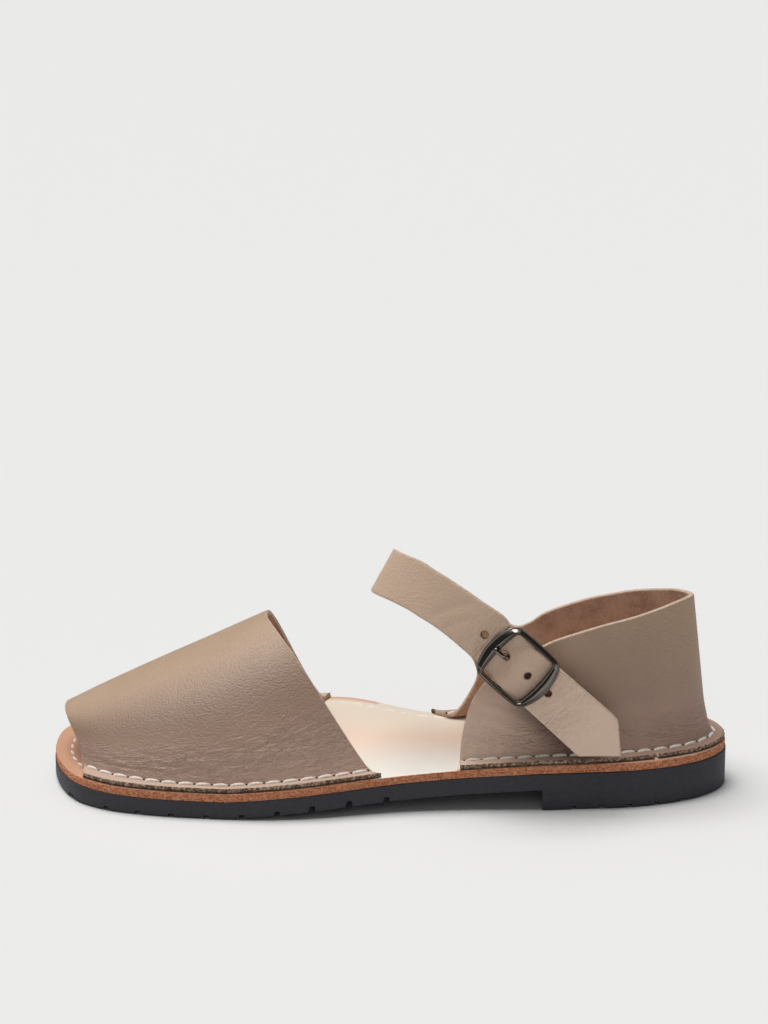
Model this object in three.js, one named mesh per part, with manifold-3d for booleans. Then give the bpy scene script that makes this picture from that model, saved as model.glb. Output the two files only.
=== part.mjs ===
// Frailera sandal, left foot, buckled: rubber outsole, leather insole, open-toed vamp,
// and a quarter cut in one with its ankle strap, which runs over the instep to a buckle.
// Millimetres. The toe points to -X, the outer (lateral) side to -Y, up is +Z.
// The origin lies on the floor under the middle of the heel seat.

import * as THREE from 'three';
import { mergeVertices } from 'three/addons/utils/BufferGeometryUtils.js';
import Module from 'manifold-3d';

const wasm = await Module();
wasm.setup();

// Driving dimensions.
const SOLE_LENGTH = 252;
const BALL_WIDTH = 94.6;
const HEEL_SEAT_FROM_BACK = 34;
const CLEARANCE = 0.3;

// Rubber outsole.
const RUBBER = 6.4;
const HEEL_LIFT = 7.7;
const TOE_SPRING = 1.0;
const ARCH_RAISE = 4.6;
const GROOVE_WIDTH = 2.4;
const GROOVE_DEPTH = 1.4;
const FOREFOOT_GROOVE_PITCH = 12.9;
const HEEL_GROOVE_PITCH = 10.6;

// Leathers.
const INSOLE_THICKNESS = 2.8;
const INSOLE_INSET = 0.3;
const UPPER_THICKNESS = 1.8;
const FLANGE_MARGIN = 0.8;
const FOLD_RADIUS = 3.0;
const VAMP_WALL_INSET = 7.5;
const QUARTER_WALL_INSET = 9.0;

// Heights of the upper above the floor.
const TOE_CREST = 25.0;
const THROAT_CREST = 60.0;
const COLLAR_HEIGHT = 73.4;

// Strap and buckle.
const HOLE_DIAMETER = 2.6;
const HOLE_PITCH = 10.4;
const STRAP_BUMP = 1.6;
const FRAME_LENGTH = 21.4;
const FRAME_WIDTH = 23.0;
const FRAME_THICKNESS = 2.0;
const END_BAR_WIDTH = 2.2;
const SIDE_BAR_WIDTH = 1.4;
const STRAP_PLAY = 0.7;
const FRAME_CORNER = 2.6;
const FRAME_BOW = 3.2;
const WINDOW_BOW = 0.9;
const CENTRE_BAR_DIAMETER = 1.8;
const PRONG_DIAMETER = 1.7;
const TAB_THICKNESS = 1.3;
const TAB_WIDTH = 14.5;
const TAB_LEG = 15;

const HEEL_SEAT = SOLE_LENGTH - HEEL_SEAT_FROM_BACK;
const STRAP_WIDTH = FRAME_WIDTH - 2 * (SIDE_BAR_WIDTH + STRAP_PLAY);
const SEAT_LEVEL = HEEL_LIFT + RUBBER + INSOLE_THICKNESS + 2 * CLEARANCE;

// Materials, with the colours of the real pieces.
const finish = (color, roughness, metalness = 0) =>
  new THREE.MeshStandardMaterial({ color, roughness, metalness });
const rubber = finish(0x2b2d32, 0.7);
const vegTan = finish(0xe6c3a4, 0.62);
const taupeLeather = finish(0x9f8876, 0.55);
const gunmetal = finish(0x4b4845, 0.35, 0.95);

// Plain number helpers.
const clamp = (x, low, high) => Math.min(high, Math.max(low, x));
const mix = (a, b, t) => a + (b - a) * t;

// A smooth function through the rows of a table: column against key.
function through(rows, key, column) {
  const x = rows.map((row) => row[key]);
  const y = rows.map((row) => row[column]);
  const last = x.length - 1;
  const slope = (i) => {
    const a = Math.max(i - 1, 0);
    const b = Math.min(i + 1, last);
    return (y[b] - y[a]) / (x[b] - x[a]);
  };
  return (at) => {
    if (at <= x[0]) return y[0];
    if (at >= x[last]) return y[last];
    let i = 0;
    while (at > x[i + 1]) i += 1;
    const h = x[i + 1] - x[i];
    const t = (at - x[i]) / h;
    const a = 2 * t ** 3 - 3 * t ** 2 + 1;
    return a * y[i] + (1 - a) * y[i + 1]
      + (t ** 3 - 2 * t ** 2 + t) * h * slope(i) + (t ** 3 - t ** 2) * h * slope(i + 1);
  };
}

// The last's bottom: full width before the ends are rounded, and how far its middle
// lies to the inner side, as shares of the ball width, by share of the length from the toe.
const lastSections = [
  { along: 0, width: 0.95, middle: 0.072 },
  { along: 0.016, width: 0.947, middle: 0.048 },
  { along: 0.04, width: 0.943, middle: 0.02 },
  { along: 0.08, width: 0.939, middle: 0.014 },
  { along: 0.14, width: 0.938, middle: 0.0135 },
  { along: 0.2, width: 0.967, middle: 0.013 },
  { along: 0.26, width: 1, middle: 0.013 },
  { along: 0.317, width: 0.993, middle: 0.004 },
  { along: 0.377, width: 0.939, middle: -0.0095 },
  { along: 0.437, width: 0.851, middle: -0.0206 },
  { along: 0.496, width: 0.754, middle: -0.032 },
  { along: 0.556, width: 0.687, middle: -0.041 },
  { along: 0.615, width: 0.661, middle: -0.041 },
  { along: 0.675, width: 0.667, middle: -0.0365 },
  { along: 0.734, width: 0.679, middle: -0.0254 },
  { along: 0.794, width: 0.682, middle: -0.0048 },
  { along: 0.853, width: 0.682, middle: 0.005 },
  { along: 0.913, width: 0.682, middle: 0.003 },
  { along: 0.96, width: 0.682, middle: -0.008 },
  { along: 1, width: 0.682, middle: -0.02 },
];
const widthShare = through(lastSections, 'along', 'width');
const middleShare = through(lastSections, 'along', 'middle');

// The ends are superellipses: how far each reaches along the sole, and its power.
const TOE_ROUND = { reach: 0.2 * SOLE_LENGTH, power: 2.3 };
const HEEL_ROUND = { reach: 0.18 * SOLE_LENGTH, power: 1.85 };
const endRound = (distance, { reach, power }) => {
  const t = clamp(distance / reach, 0, 1);
  return (1 - (1 - t) ** power) ** (1 / power);
};

// Y of the outline at s millimetres from the toe; side is -1 outer, +1 inner.
function outline(s, side, inset = 0) {
  const share = s / SOLE_LENGTH;
  const half = BALL_WIDTH * widthShare(share) / 2 - inset;
  const ends = endRound(s - inset, TOE_ROUND) * endRound(SOLE_LENGTH - inset - s, HEEL_ROUND);
  return BALL_WIDTH * middleShare(share) + side * half * ends;
}

// Underside of the rubber before the heel is added: toe spring, flat tread, shank.
const TREAD_START = 0.2 * SOLE_LENGTH;
const TREAD_END = 0.27 * SOLE_LENGTH;
const BREAST = 0.726 * SOLE_LENGTH;
function shank(s) {
  const toe = TOE_SPRING * clamp((TREAD_START - s) / TREAD_START, 0, 1) ** 2;
  return toe + HEEL_LIFT * clamp((s - TREAD_END) / (BREAST - TREAD_END), 0, 1) ** 0.9;
}

// The inner edge of the waist is drawn up under the arch.
const ARCH_MIDDLE = 0.43 * SOLE_LENGTH;
const ARCH_HALF = 0.16 * SOLE_LENGTH;
function archRaise(s, y) {
  const along = Math.cos(clamp((s - ARCH_MIDDLE) / ARCH_HALF, -1, 1) * Math.PI / 2) ** 2;
  const outer = outline(s, -1);
  const inner = outline(s, 1);
  const across = clamp((y - outer) / Math.max(inner - outer, 1), 0, 1);
  return ARCH_RAISE * along * across ** 2;
}
const sheetHeight = (s, y, above) => shank(s) + archRaise(s, y) + above;
const insoleTop = RUBBER + CLEARANCE + INSOLE_THICKNESS;
const flangeSeat = (s, y) => sheetHeight(s, y, insoleTop + CLEARANCE);

// Solids. A closed sheet from two like grids of points, under and over.
function closedGrid(rows, columns, under, over) {
  const position = [];
  for (const face of [under, over]) {
    for (let i = 0; i <= rows; i += 1) {
      for (let j = 0; j <= columns; j += 1) position.push(...face(i, j));
    }
  }
  const stride = columns + 1;
  const at = (level, i, j) => level * (rows + 1) * stride + i * stride + j;
  const index = [];
  const quad = (a, b, c, d) => index.push(a, b, c, a, c, d);
  for (let i = 0; i < rows; i += 1) {
    for (let j = 0; j < columns; j += 1) {
      quad(at(1, i, j), at(1, i + 1, j), at(1, i + 1, j + 1), at(1, i, j + 1));
      quad(at(0, i, j), at(0, i, j + 1), at(0, i + 1, j + 1), at(0, i + 1, j));
    }
    quad(at(0, i, 0), at(0, i + 1, 0), at(1, i + 1, 0), at(1, i, 0));
    quad(at(0, i + 1, columns), at(0, i, columns), at(1, i, columns), at(1, i + 1, columns));
  }
  for (let j = 0; j < columns; j += 1) {
    quad(at(0, 0, j + 1), at(0, 0, j), at(1, 0, j), at(1, 0, j + 1));
    quad(at(0, rows, j), at(0, rows, j + 1), at(1, rows, j + 1), at(1, rows, j));
  }
  const geometry = new THREE.BufferGeometry();
  geometry.setAttribute('position', new THREE.Float32BufferAttribute(position, 3));
  geometry.setIndex(index);
  return geometry;
}

// Merges the vertices of a geometry and drops the triangles that close up.
function merged(geometry) {
  const bare = geometry.clone();
  bare.deleteAttribute('normal');
  bare.deleteAttribute('uv');
  const joined = mergeVertices(bare, 1e-4);
  const kept = [];
  const index = joined.index.array;
  for (let i = 0; i < index.length; i += 3) {
    const [a, b, c] = [index[i], index[i + 1], index[i + 2]];
    if (a !== b && b !== c && c !== a) kept.push(a, b, c);
  }
  joined.setIndex(kept);
  return joined;
}

function solid(geometry) {
  const closed = merged(geometry);
  return new wasm.Manifold(new wasm.Mesh({
    numProp: 3,
    vertProperties: new Float32Array(closed.attributes.position.array),
    triVerts: new Uint32Array(closed.index.array),
  }));
}

// A solid's triangles as a geometry, each vertex moved by place when it is given.
function geometryOf(body, place = null) {
  const mesh = body.getMesh();
  const position = new Float32Array(mesh.numVert * 3);
  for (let i = 0; i < mesh.numVert; i += 1) {
    const point = [0, 1, 2].map((k) => mesh.vertProperties[i * mesh.numProp + k]);
    position.set(place ? place(...point) : point, i * 3);
  }
  const geometry = new THREE.BufferGeometry();
  geometry.setAttribute('position', new THREE.BufferAttribute(position, 3));
  geometry.setIndex([...mesh.triVerts]);
  return geometry;
}

const sandal = new THREE.Group();
function add(name, geometry, material, parent = sandal) {
  geometry.computeVertexNormals();
  const mesh = new THREE.Mesh(geometry, material);
  mesh.name = name;
  parent.add(mesh);
}

// A sheet of the sole: follows the last's outline between two heights over the shank.
const SOLE_STATIONS = 46;
const SOLE_STRIPS = 6;
function soleSheet(low, high, inset, from = 0, stations = SOLE_STATIONS) {
  const start = Math.max(from, inset);
  const end = SOLE_LENGTH - inset;
  const s = (i) => {
    const t = i / stations;
    const eased = from > 0 ? Math.sin(t * Math.PI / 2) : (1 - Math.cos(t * Math.PI)) / 2;
    return mix(start, end, eased);
  };
  const face = (height) => (i, j) => {
    const y = mix(outline(s(i), -1, inset), outline(s(i), 1, inset), j / SOLE_STRIPS);
    return [s(i) - HEEL_SEAT, y, height(s(i), y)];
  };
  return closedGrid(stations, SOLE_STRIPS, face(low), face(high));
}

// Outsole: the shank sheet, the heel block under it, and grooves between the lugs. The
// forefoot's run from near the toe to the waist, the heel's from its breast to its back.
const FIRST_GROOVE = 0.75 * FOREFOOT_GROOVE_PITCH;
const WAIST_GROOVE = 0.52 * SOLE_LENGTH;
const LAST_GROOVE = SOLE_LENGTH - 1.5 * HEEL_GROOVE_PITCH;
const HEEL_STATIONS = 16;
function outsole() {
  const sheet = solid(soleSheet(
    (s, y) => sheetHeight(s, y, 0),
    (s, y) => sheetHeight(s, y, RUBBER),
    0,
  ));
  const heel = solid(soleSheet(() => 0, () => HEEL_LIFT + RUBBER / 2, 0, BREAST, HEEL_STATIONS));
  let body = sheet.add(heel);
  const groove = (s, floor) => {
    const box = new THREE.BoxGeometry(GROOVE_WIDTH, 2 * BALL_WIDTH, 2 * GROOVE_DEPTH);
    box.translate(s - HEEL_SEAT, 0, floor);
    body = body.subtract(solid(box));
  };
  for (let s = FIRST_GROOVE; s < WAIST_GROOVE; s += FOREFOOT_GROOVE_PITCH) groove(s, shank(s));
  for (let s = BREAST + HEEL_GROOVE_PITCH; s < LAST_GROOVE; s += HEEL_GROOVE_PITCH) groove(s, 0);
  return geometryOf(body);
}
add('outsole', outsole(), rubber);

// Insole: natural veg-tan leather over the whole sole.
const insoleUnder = RUBBER + CLEARANCE;
add('insole', merged(soleSheet(
  (s, y) => sheetHeight(s, y, insoleUnder),
  (s, y) => sheetHeight(s, y, insoleTop),
  INSOLE_INSET,
)), vegTan);

// How far leather lies outside its wall where it turns out into the stitched flange:
// rise is the height above the seat, negative along the flat flange.
function foldOut(rise) {
  if (rise >= FOLD_RADIUS) return 0;
  if (rise <= 0) return FOLD_RADIUS - rise;
  return FOLD_RADIUS - Math.sqrt(FOLD_RADIUS ** 2 - (FOLD_RADIUS - rise) ** 2);
}

// A point on a leather's grain side: its flesh side moved out by the thickness.
function thicken(surface, u, v, out, step = 0.05) {
  const [a, b] = [surface(u - step, v), surface(u + step, v)];
  const [c, d] = [surface(u, v - step), surface(u, v + step)];
  const along = new THREE.Vector3(...b).sub(new THREE.Vector3(...a));
  const across = new THREE.Vector3(...d).sub(new THREE.Vector3(...c));
  const normal = along.cross(across).normalize();
  return new THREE.Vector3(...surface(u, v)).addScaledVector(normal, out).toArray();
}

// Vamp: an arched band from flange to flange. Its front and back edges slant forward
// towards the crest, so each section runs from two feet over a crest of its own. The
// shares of the sole length say where each edge passes the flanges, feet and crest.
const vampEdges = {
  front: { outerFlange: 0.056, outer: 0.054, crest: 0.016, inner: 0.05, innerFlange: 0.054 },
  back: { outerFlange: 0.493, outer: 0.48, crest: 0.3205, inner: 0.4, innerFlange: 0.408 },
};

// The crest's height and its place across, and each section's way up to it: the power of
// its arch, the power by which it sweeps forward from its feet, and the powers by which
// the two sides ease into the crest.
const vampCrest = [
  { along: 0, height: 0, inward: 0.03, archPower: 2.05, sweep: 3, outerEase: 1, innerEase: 1 },
  { along: 0.35, height: 0.34, inward: 0.045, archPower: 2.15, sweep: 1.7, outerEase: 1,
    innerEase: 1 },
  { along: 0.7, height: 0.68, inward: 0.053, archPower: 2.25, sweep: 1.05, outerEase: 0.82,
    innerEase: 1.1 },
  { along: 1, height: 1, inward: 0.057, archPower: 2.3, sweep: 0.8, outerEase: 0.62,
    innerEase: 1.15 },
];
const crestHeight = through(vampCrest, 'along', 'height');
const crestInward = through(vampCrest, 'along', 'inward');
const archPower = through(vampCrest, 'along', 'archPower');
const sweepPower = through(vampCrest, 'along', 'sweep');
const outerEase = through(vampCrest, 'along', 'outerEase');
const innerEase = through(vampCrest, 'along', 'innerEase');
const foldShares = [0.08, 0.3, 0.65, 1];
const ARCH_STEPS = 7;
const VAMP_COLUMNS = 20;

// One side of a section, foot to crest, as rises above the seat or shares of the arch.
const vampSide = [
  { flange: 1 },
  { flange: 0 },
  ...foldShares.map((share) => ({ fold: share })),
  ...Array.from({ length: ARCH_STEPS }, (_, k) => ({ arch: (k + 1) / ARCH_STEPS })),
];
const vampRows = 2 * vampSide.length - 2;

function vampSurface(u, v) {
  const row = Math.min(v, vampRows - v);
  const side = v <= vampRows / 2 ? -1 : 1;
  const low = vampSide[clamp(Math.floor(row), 0, vampSide.length - 1)];
  const high = vampSide[clamp(Math.floor(row) + 1, 0, vampSide.length - 1)];
  const t = row - Math.floor(row);
  const a = vampStop(u, side, low);
  const b = vampStop(u, side, high);
  return a.map((value, k) => mix(value, b[k], t));
}

function vampStop(u, side, stop) {
  const edgeAt = (key) => SOLE_LENGTH * mix(vampEdges.front[key], vampEdges.back[key], u);
  const outerFoot = edgeAt('outer');
  const innerFoot = edgeAt('inner');
  const foot = side < 0 ? outerFoot : innerFoot;
  const base = outline(foot, side, VAMP_WALL_INSET);
  if (stop.flange !== undefined) {
    const s = mix(foot, edgeAt(side < 0 ? 'outerFlange' : 'innerFlange'), stop.flange);
    const y = mix(base + side * FOLD_RADIUS, outline(s, side, FLANGE_MARGIN), stop.flange);
    return [s - HEEL_SEAT, y, flangeSeat(s, y)];
  }
  const middle = (outline(outerFoot, -1, VAMP_WALL_INSET) + outline(innerFoot, 1, VAMP_WALL_INSET)) / 2
    + BALL_WIDTH * crestInward(u);
  const seat = flangeSeat(foot, base);
  const height = mix(TOE_CREST, THROAT_CREST, crestHeight(u)) - seat;
  const power = archPower(u);
  const foldAngle = Math.asin(clamp((FOLD_RADIUS / height) ** (power / 2), 0, 0.9));
  const angle = stop.fold !== undefined
    ? Math.asin(clamp((stop.fold * FOLD_RADIUS / height) ** (power / 2), 0, 0.9))
    : mix(foldAngle, Math.PI / 2, stop.arch);
  const share = Math.sin(angle) ** (2 / power);
  const inShare = 1 - Math.abs(Math.cos(angle)) ** (2 / power);
  const rise = height * share;
  const y = mix(base, middle, inShare) + side * foldOut(rise);
  const ease = side < 0 ? outerEase(u) : innerEase(u);
  const s = mix(foot, edgeAt('crest'), 1 - (1 - share ** sweepPower(u)) ** ease);
  return [s - HEEL_SEAT, y, seat + rise];
}

function vamp() {
  const grid = (out) => (i, j) => {
    const u = i / VAMP_COLUMNS;
    if (out === 0) return vampSurface(u, j);
    return thicken(vampSurface, u, j, out, 0.01);
  };
  return merged(closedGrid(VAMP_COLUMNS, vampRows, grid(0), grid(UPPER_THICKNESS)));
}
add('vamp', vamp(), taupeLeather);

// Ankle loop: where the quarter and its strap run, seen from above. It starts on the
// outer side, goes round the heel and along the inner side at the wall's inset, then
// crosses the instep and ends over the outer side. Shares of sole length and ball width.
const outerWallStops = [0.595, 0.655, 0.714, 0.774, 0.833, 0.881, 0.921, 0.944, 0.9585];
const innerWallStops = [0.9585, 0.944, 0.921, 0.881, 0.833, 0.786];
const instepStops = [
  { along: 0.722, across: 0.217 },
  { along: 0.655, across: 0.203 },
  { along: 0.597, across: 0.178 },
  { along: 0.548, across: 0.128 },
  { along: 0.513, across: 0.055 },
  { along: 0.499, across: -0.016 },
  { along: 0.511, across: -0.1 },
  { along: 0.552, across: -0.196 },
  { along: 0.611, across: -0.273 },
  { along: 0.647, across: -0.311 },
  { along: 0.683, across: -0.328 },
  { along: 0.73, across: -0.333 },
  { along: 0.786, across: -0.329 },
  { along: 0.857, across: -0.318 },
];
const wallPoint = (share, side) => {
  const s = share * SOLE_LENGTH;
  return new THREE.Vector3(s, outline(s, side, QUARTER_WALL_INSET), 0);
};
const loopPoints = [
  ...outerWallStops.map((share) => wallPoint(share, -1)),
  new THREE.Vector3(SOLE_LENGTH - QUARTER_WALL_INSET, BALL_WIDTH * middleShare(1), 0),
  ...innerWallStops.map((share) => wallPoint(share, 1)),
  ...instepStops.map(({ along, across }) =>
    new THREE.Vector3(along * SOLE_LENGTH, across * BALL_WIDTH, 0)),
];
const loop = new THREE.CatmullRomCurve3(loopPoints, false, 'centripetal');
loop.arcLengthDivisions = 800;
const loopLength = loop.getLength();

// How far along the loop each of its stops lies.
const stopPlaces = (() => {
  const lengths = loop.getLengths(loop.arcLengthDivisions);
  return loopPoints.map((_, i) =>
    lengths[Math.round(i * loop.arcLengthDivisions / (loopPoints.length - 1))]);
})();
const BACK_STOP = outerWallStops.length;
const FIRST_INSTEP = loopPoints.length - instepStops.length;

// The wall leans towards the ankle: slope, and the height at which it crosses the loop.
const leanRows = [
  { stop: 0, slope: 0.03, level: 0.27 },
  { stop: 3, slope: 0.05, level: 0.27 },
  { stop: BACK_STOP, slope: 0.115, level: 0.27 },
  { stop: BACK_STOP + 4, slope: 0.06, level: 0.27 },
  { stop: FIRST_INSTEP, slope: 0.02, level: 0.3 },
  { stop: FIRST_INSTEP + 1, slope: -0.03, level: 0.3 },
  { stop: FIRST_INSTEP + 2, slope: 0.02, level: 0.5 },
  { stop: FIRST_INSTEP + 3, slope: 0.32, level: 0.92 },
  { stop: FIRST_INSTEP + 5, slope: 0.53, level: 1.12 },
  { stop: FIRST_INSTEP + 7, slope: 0.36, level: 1.08 },
  { stop: FIRST_INSTEP + 8, slope: 0.2, level: 0.97 },
  { stop: FIRST_INSTEP + 10, slope: 0.07, level: 0.78 },
  { stop: FIRST_INSTEP + 12, slope: 0, level: 0.48 },
  { stop: FIRST_INSTEP + 13, slope: 0, level: 0.34 },
].map((row) => ({ ...row, place: stopPlaces[row.stop] }));
const leanSlope = through(leanRows, 'place', 'slope');
const leanLevel = through(leanRows, 'place', 'level');

function loopAt(place) {
  const t = clamp(place / loopLength, 0, 1);
  const point = loop.getPointAt(t);
  const ahead = loop.getPointAt(clamp(t + 0.002, 0, 1));
  const behind = loop.getPointAt(clamp(t - 0.002, 0, 1));
  const direction = ahead.sub(behind).normalize();
  return { point, direction };
}

// Where the strap crosses the buckle's centre bar: place along the loop and height,
// and the strap's direction there on the pattern.
const strapDrop = 0.74;
const buckleAt = { place: 0.8749 * loopLength, height: 0.751 * COLLAR_HEIGHT };
const strapAlong = new THREE.Vector2(Math.cos(strapDrop), -Math.sin(strapDrop));
function strapOffsets(place, height) {
  const dx = place - buckleAt.place;
  const dy = height - buckleAt.height;
  return {
    along: dx * strapAlong.x + dy * strapAlong.y,
    across: -dx * strapAlong.y + dy * strapAlong.x,
  };
}

// The flesh side of quarter and strap, from the pattern: place along the loop, height.
// The centre bar lifts the strap a little near the buckle's middle.
const SEAT_FADE = 25;
const BUMP_REACH = 0.21 * FRAME_LENGTH;
const strapStart = stopPlaces[FIRST_INSTEP + 6];
function quarterSurface(place, height) {
  const { point, direction } = loopAt(place);
  const slope = leanSlope(place);
  const inward = slope * (Math.max(height, SEAT_LEVEL) - leanLevel(place) * COLLAR_HEIGHT);
  let out = -inward + foldOut(height - SEAT_LEVEL);
  if (place > strapStart) {
    const { along, across } = strapOffsets(place, height);
    if (Math.abs(across) < STRAP_WIDTH) out += STRAP_BUMP * Math.exp(-((along / BUMP_REACH) ** 2));
  }
  const s = point.x + direction.y * out;
  const y = point.y - direction.x * out;
  const settle = (flangeSeat(s, y) - SEAT_LEVEL)
    * clamp(1 - (height - SEAT_LEVEL - FOLD_RADIUS) / SEAT_FADE, 0, 1);
  return [s - HEEL_SEAT, y, Math.max(height, SEAT_LEVEL) + settle];
}

// The pattern's outline, as shares of the loop's length and of the collar's height.
const outerFront = [
  { along: 0.0077, height: 0.24 }, { along: 0.0091, height: 0.34 },
  { along: 0.0133, height: 0.44 }, { along: 0.0195, height: 0.53 },
  { along: 0.0269, height: 0.588 }, { along: 0.0354, height: 0.635 },
  { along: 0.0512, height: 0.662 }, { along: 0.0659, height: 0.688 },
  { along: 0.0882, height: 0.77 }, { along: 0.0956, height: 0.825 },
];
const collarEdge = [
  { along: 0.1148, height: 0.868 }, { along: 0.1594, height: 0.915 },
  { along: 0.198, height: 0.942 }, { along: 0.2298, height: 0.968 },
  { along: 0.2597, height: 0.99 }, { along: 0.297, height: 0.995 },
  { along: 0.344, height: 0.975 }, { along: 0.3728, height: 0.95 },
  { along: 0.4058, height: 0.92 }, { along: 0.4316, height: 0.89 },
  { along: 0.4583, height: 0.86 }, { along: 0.5009, height: 0.795 },
  { along: 0.5215, height: 0.735 }, { along: 0.5392, height: 0.72 },
];
const strapUpperEdge = [
  { along: 0.5663, height: 0.81 }, { along: 0.6018, height: 0.945 },
  { along: 0.6342, height: 1.055 }, { along: 0.6767, height: 1.155 },
  { along: 0.7049, height: 1.219 }, { along: 0.75, height: 1.217 },
  { along: 0.7795, height: 1.178 }, { along: 0.8025, height: 1.135 },
  { along: 0.832, height: 1.069 },
];
const strapLowerEdge = [
  { along: 0.8307, height: 0.766 }, { along: 0.8173, height: 0.817 },
  { along: 0.7893, height: 0.905 }, { along: 0.7686, height: 0.953 },
  { along: 0.7485, height: 0.987 }, { along: 0.7248, height: 1.007 },
  { along: 0.699, height: 0.995 }, { along: 0.6723, height: 0.945 },
  { along: 0.6342, height: 0.845 }, { along: 0.6048, height: 0.7 },
];
const innerFront = [
  { along: 0.5812, height: 0.53 }, { along: 0.5782, height: 0.45 },
  { along: 0.5915, height: 0.33 }, { along: 0.6048, height: 0.25 },
];
const INNER_FLANGE_END = 0.6195;
const FLANGE = QUARTER_WALL_INSET - FLANGE_MARGIN - FOLD_RADIUS;

// Past the instep the strap is straight. Its shape is told from the buckle's centre, as
// shares of its width along it and across it: buckle, shoulders of the tail, and tip.
const strapStraight = { along: -0.64, over: 0.5, under: -0.484 };
const strapMerge = { along: -0.905, over: 0.522 };
const tailShoulder = { along: 2.05, over: 0.489, under: -0.543 };
const tailCorner = { along: 2.154, over: 0.447, under: -0.532 };
const tailPoint = { along: 2.713, across: -0.032 };

function quarterPattern() {
  const placed = (rows) => rows.map(({ along, height }) =>
    new THREE.Vector2(along * loopLength, height * COLLAR_HEIGHT));
  const onStrap = (along, across) => new THREE.Vector2(buckleAt.place, buckleAt.height)
    .addScaledVector(strapAlong, along * STRAP_WIDTH)
    .add(new THREE.Vector2(-strapAlong.y, strapAlong.x).multiplyScalar(across * STRAP_WIDTH));
  const shape = new THREE.Shape();
  const [first, ...front] = placed(outerFront);
  const bottom = SEAT_LEVEL - FLANGE - CLEARANCE;
  shape.moveTo(first.x, bottom);
  shape.lineTo(first.x, first.y);
  shape.splineThru(front);
  shape.splineThru([
    ...placed(collarEdge), ...placed(strapUpperEdge),
    onStrap(strapMerge.along, strapMerge.over), onStrap(strapStraight.along, strapStraight.over),
    onStrap(0, 0.5), onStrap(tailShoulder.along, tailShoulder.over),
  ]);
  for (const [along, across] of [
    [tailCorner.along, tailCorner.over], [tailPoint.along, tailPoint.across],
    [tailCorner.along, tailCorner.under], [tailShoulder.along, tailShoulder.under],
  ]) {
    const corner = onStrap(along, across);
    shape.lineTo(corner.x, corner.y);
  }
  const [innerTop, ...inner] = placed(innerFront);
  shape.splineThru([
    onStrap(0, -0.5), onStrap(strapStraight.along, strapStraight.under),
    ...placed(strapLowerEdge), innerTop,
  ]);
  shape.splineThru(inner);
  shape.lineTo(INNER_FLANGE_END * loopLength, bottom);
  shape.closePath();
  return shape;
}

// Strap holes: the prong's own hole is drawn long by it, the others are round.
const PRONG_HOLE = -0.285 * FRAME_LENGTH;
const HOLE_STRETCH = 0.9;
function strapHoles() {
  const holes = [];
  for (let k = -1; k <= 2; k += 1) {
    const along = PRONG_HOLE + k * HOLE_PITCH;
    const stretch = k === 0 ? HOLE_STRETCH : 0;
    const centre = new THREE.Vector2(buckleAt.place, buckleAt.height)
      .addScaledVector(strapAlong, along);
    const path = new THREE.Shape();
    path.absellipse(centre.x, centre.y, HOLE_DIAMETER / 2 + stretch, HOLE_DIAMETER / 2, 0,
      2 * Math.PI, false, -strapDrop);
    holes.push(path);
  }
  return holes;
}

// Quarter and strap: a flat sheet of leather in a fine grid, cut to the pattern, pierced,
// notched at the heel, and then wrapped over the last.
const PATTERN_STEP = 5.2;
const patternRows = [
  SEAT_LEVEL - FLANGE, SEAT_LEVEL,
  ...foldShares.map((share) => SEAT_LEVEL + share * FOLD_RADIUS),
];
const WALL_ROW = 6.6;
const topRow = 1.29 * COLLAR_HEIGHT;
const firstWallRow = SEAT_LEVEL + FOLD_RADIUS + 0.6 * WALL_ROW;
for (let height = firstWallRow; height < topRow; height += WALL_ROW) {
  patternRows.push(height);
}
patternRows.push(topRow);

// The flange's notches at either side of the heel, by share of the loop's length.
const heelNotches = [0.215, 0.3911];
const NOTCH_WIDTH = 1.6;
const NOTCH_DEPTH = 2.6;

function quarter() {
  const columns = Math.round(loopLength / PATTERN_STEP);
  const flat = (level) => (i, j) => [i / columns * loopLength, patternRows[j], level];
  let sheet = solid(closedGrid(columns, patternRows.length - 1, flat(0), flat(UPPER_THICKNESS)));
  const depth = 3 * UPPER_THICKNESS;
  const cutter = (shape, segments) => {
    const geometry = new THREE.ExtrudeGeometry(shape, {
      depth, bevelEnabled: false, curveSegments: segments,
    });
    geometry.translate(0, 0, -UPPER_THICKNESS);
    return solid(geometry);
  };
  sheet = sheet.intersect(cutter(quarterPattern(), 2));
  for (const hole of strapHoles()) sheet = sheet.subtract(cutter(hole, 5));
  const flangeLow = SEAT_LEVEL - FLANGE;
  for (const along of heelNotches) {
    const notch = new THREE.Shape();
    const x = along * loopLength;
    notch.moveTo(x - NOTCH_WIDTH / 2, flangeLow - CLEARANCE);
    notch.lineTo(x + NOTCH_WIDTH / 2, flangeLow - CLEARANCE);
    notch.lineTo(x, flangeLow + NOTCH_DEPTH);
    sheet = sheet.subtract(cutter(notch, 1));
  }
  const wrap = (place, height, level) => thicken(quarterSurface, place, height, level);
  return geometryOf(sheet, wrap);
}
add('quarter', quarter(), taupeLeather);

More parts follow.
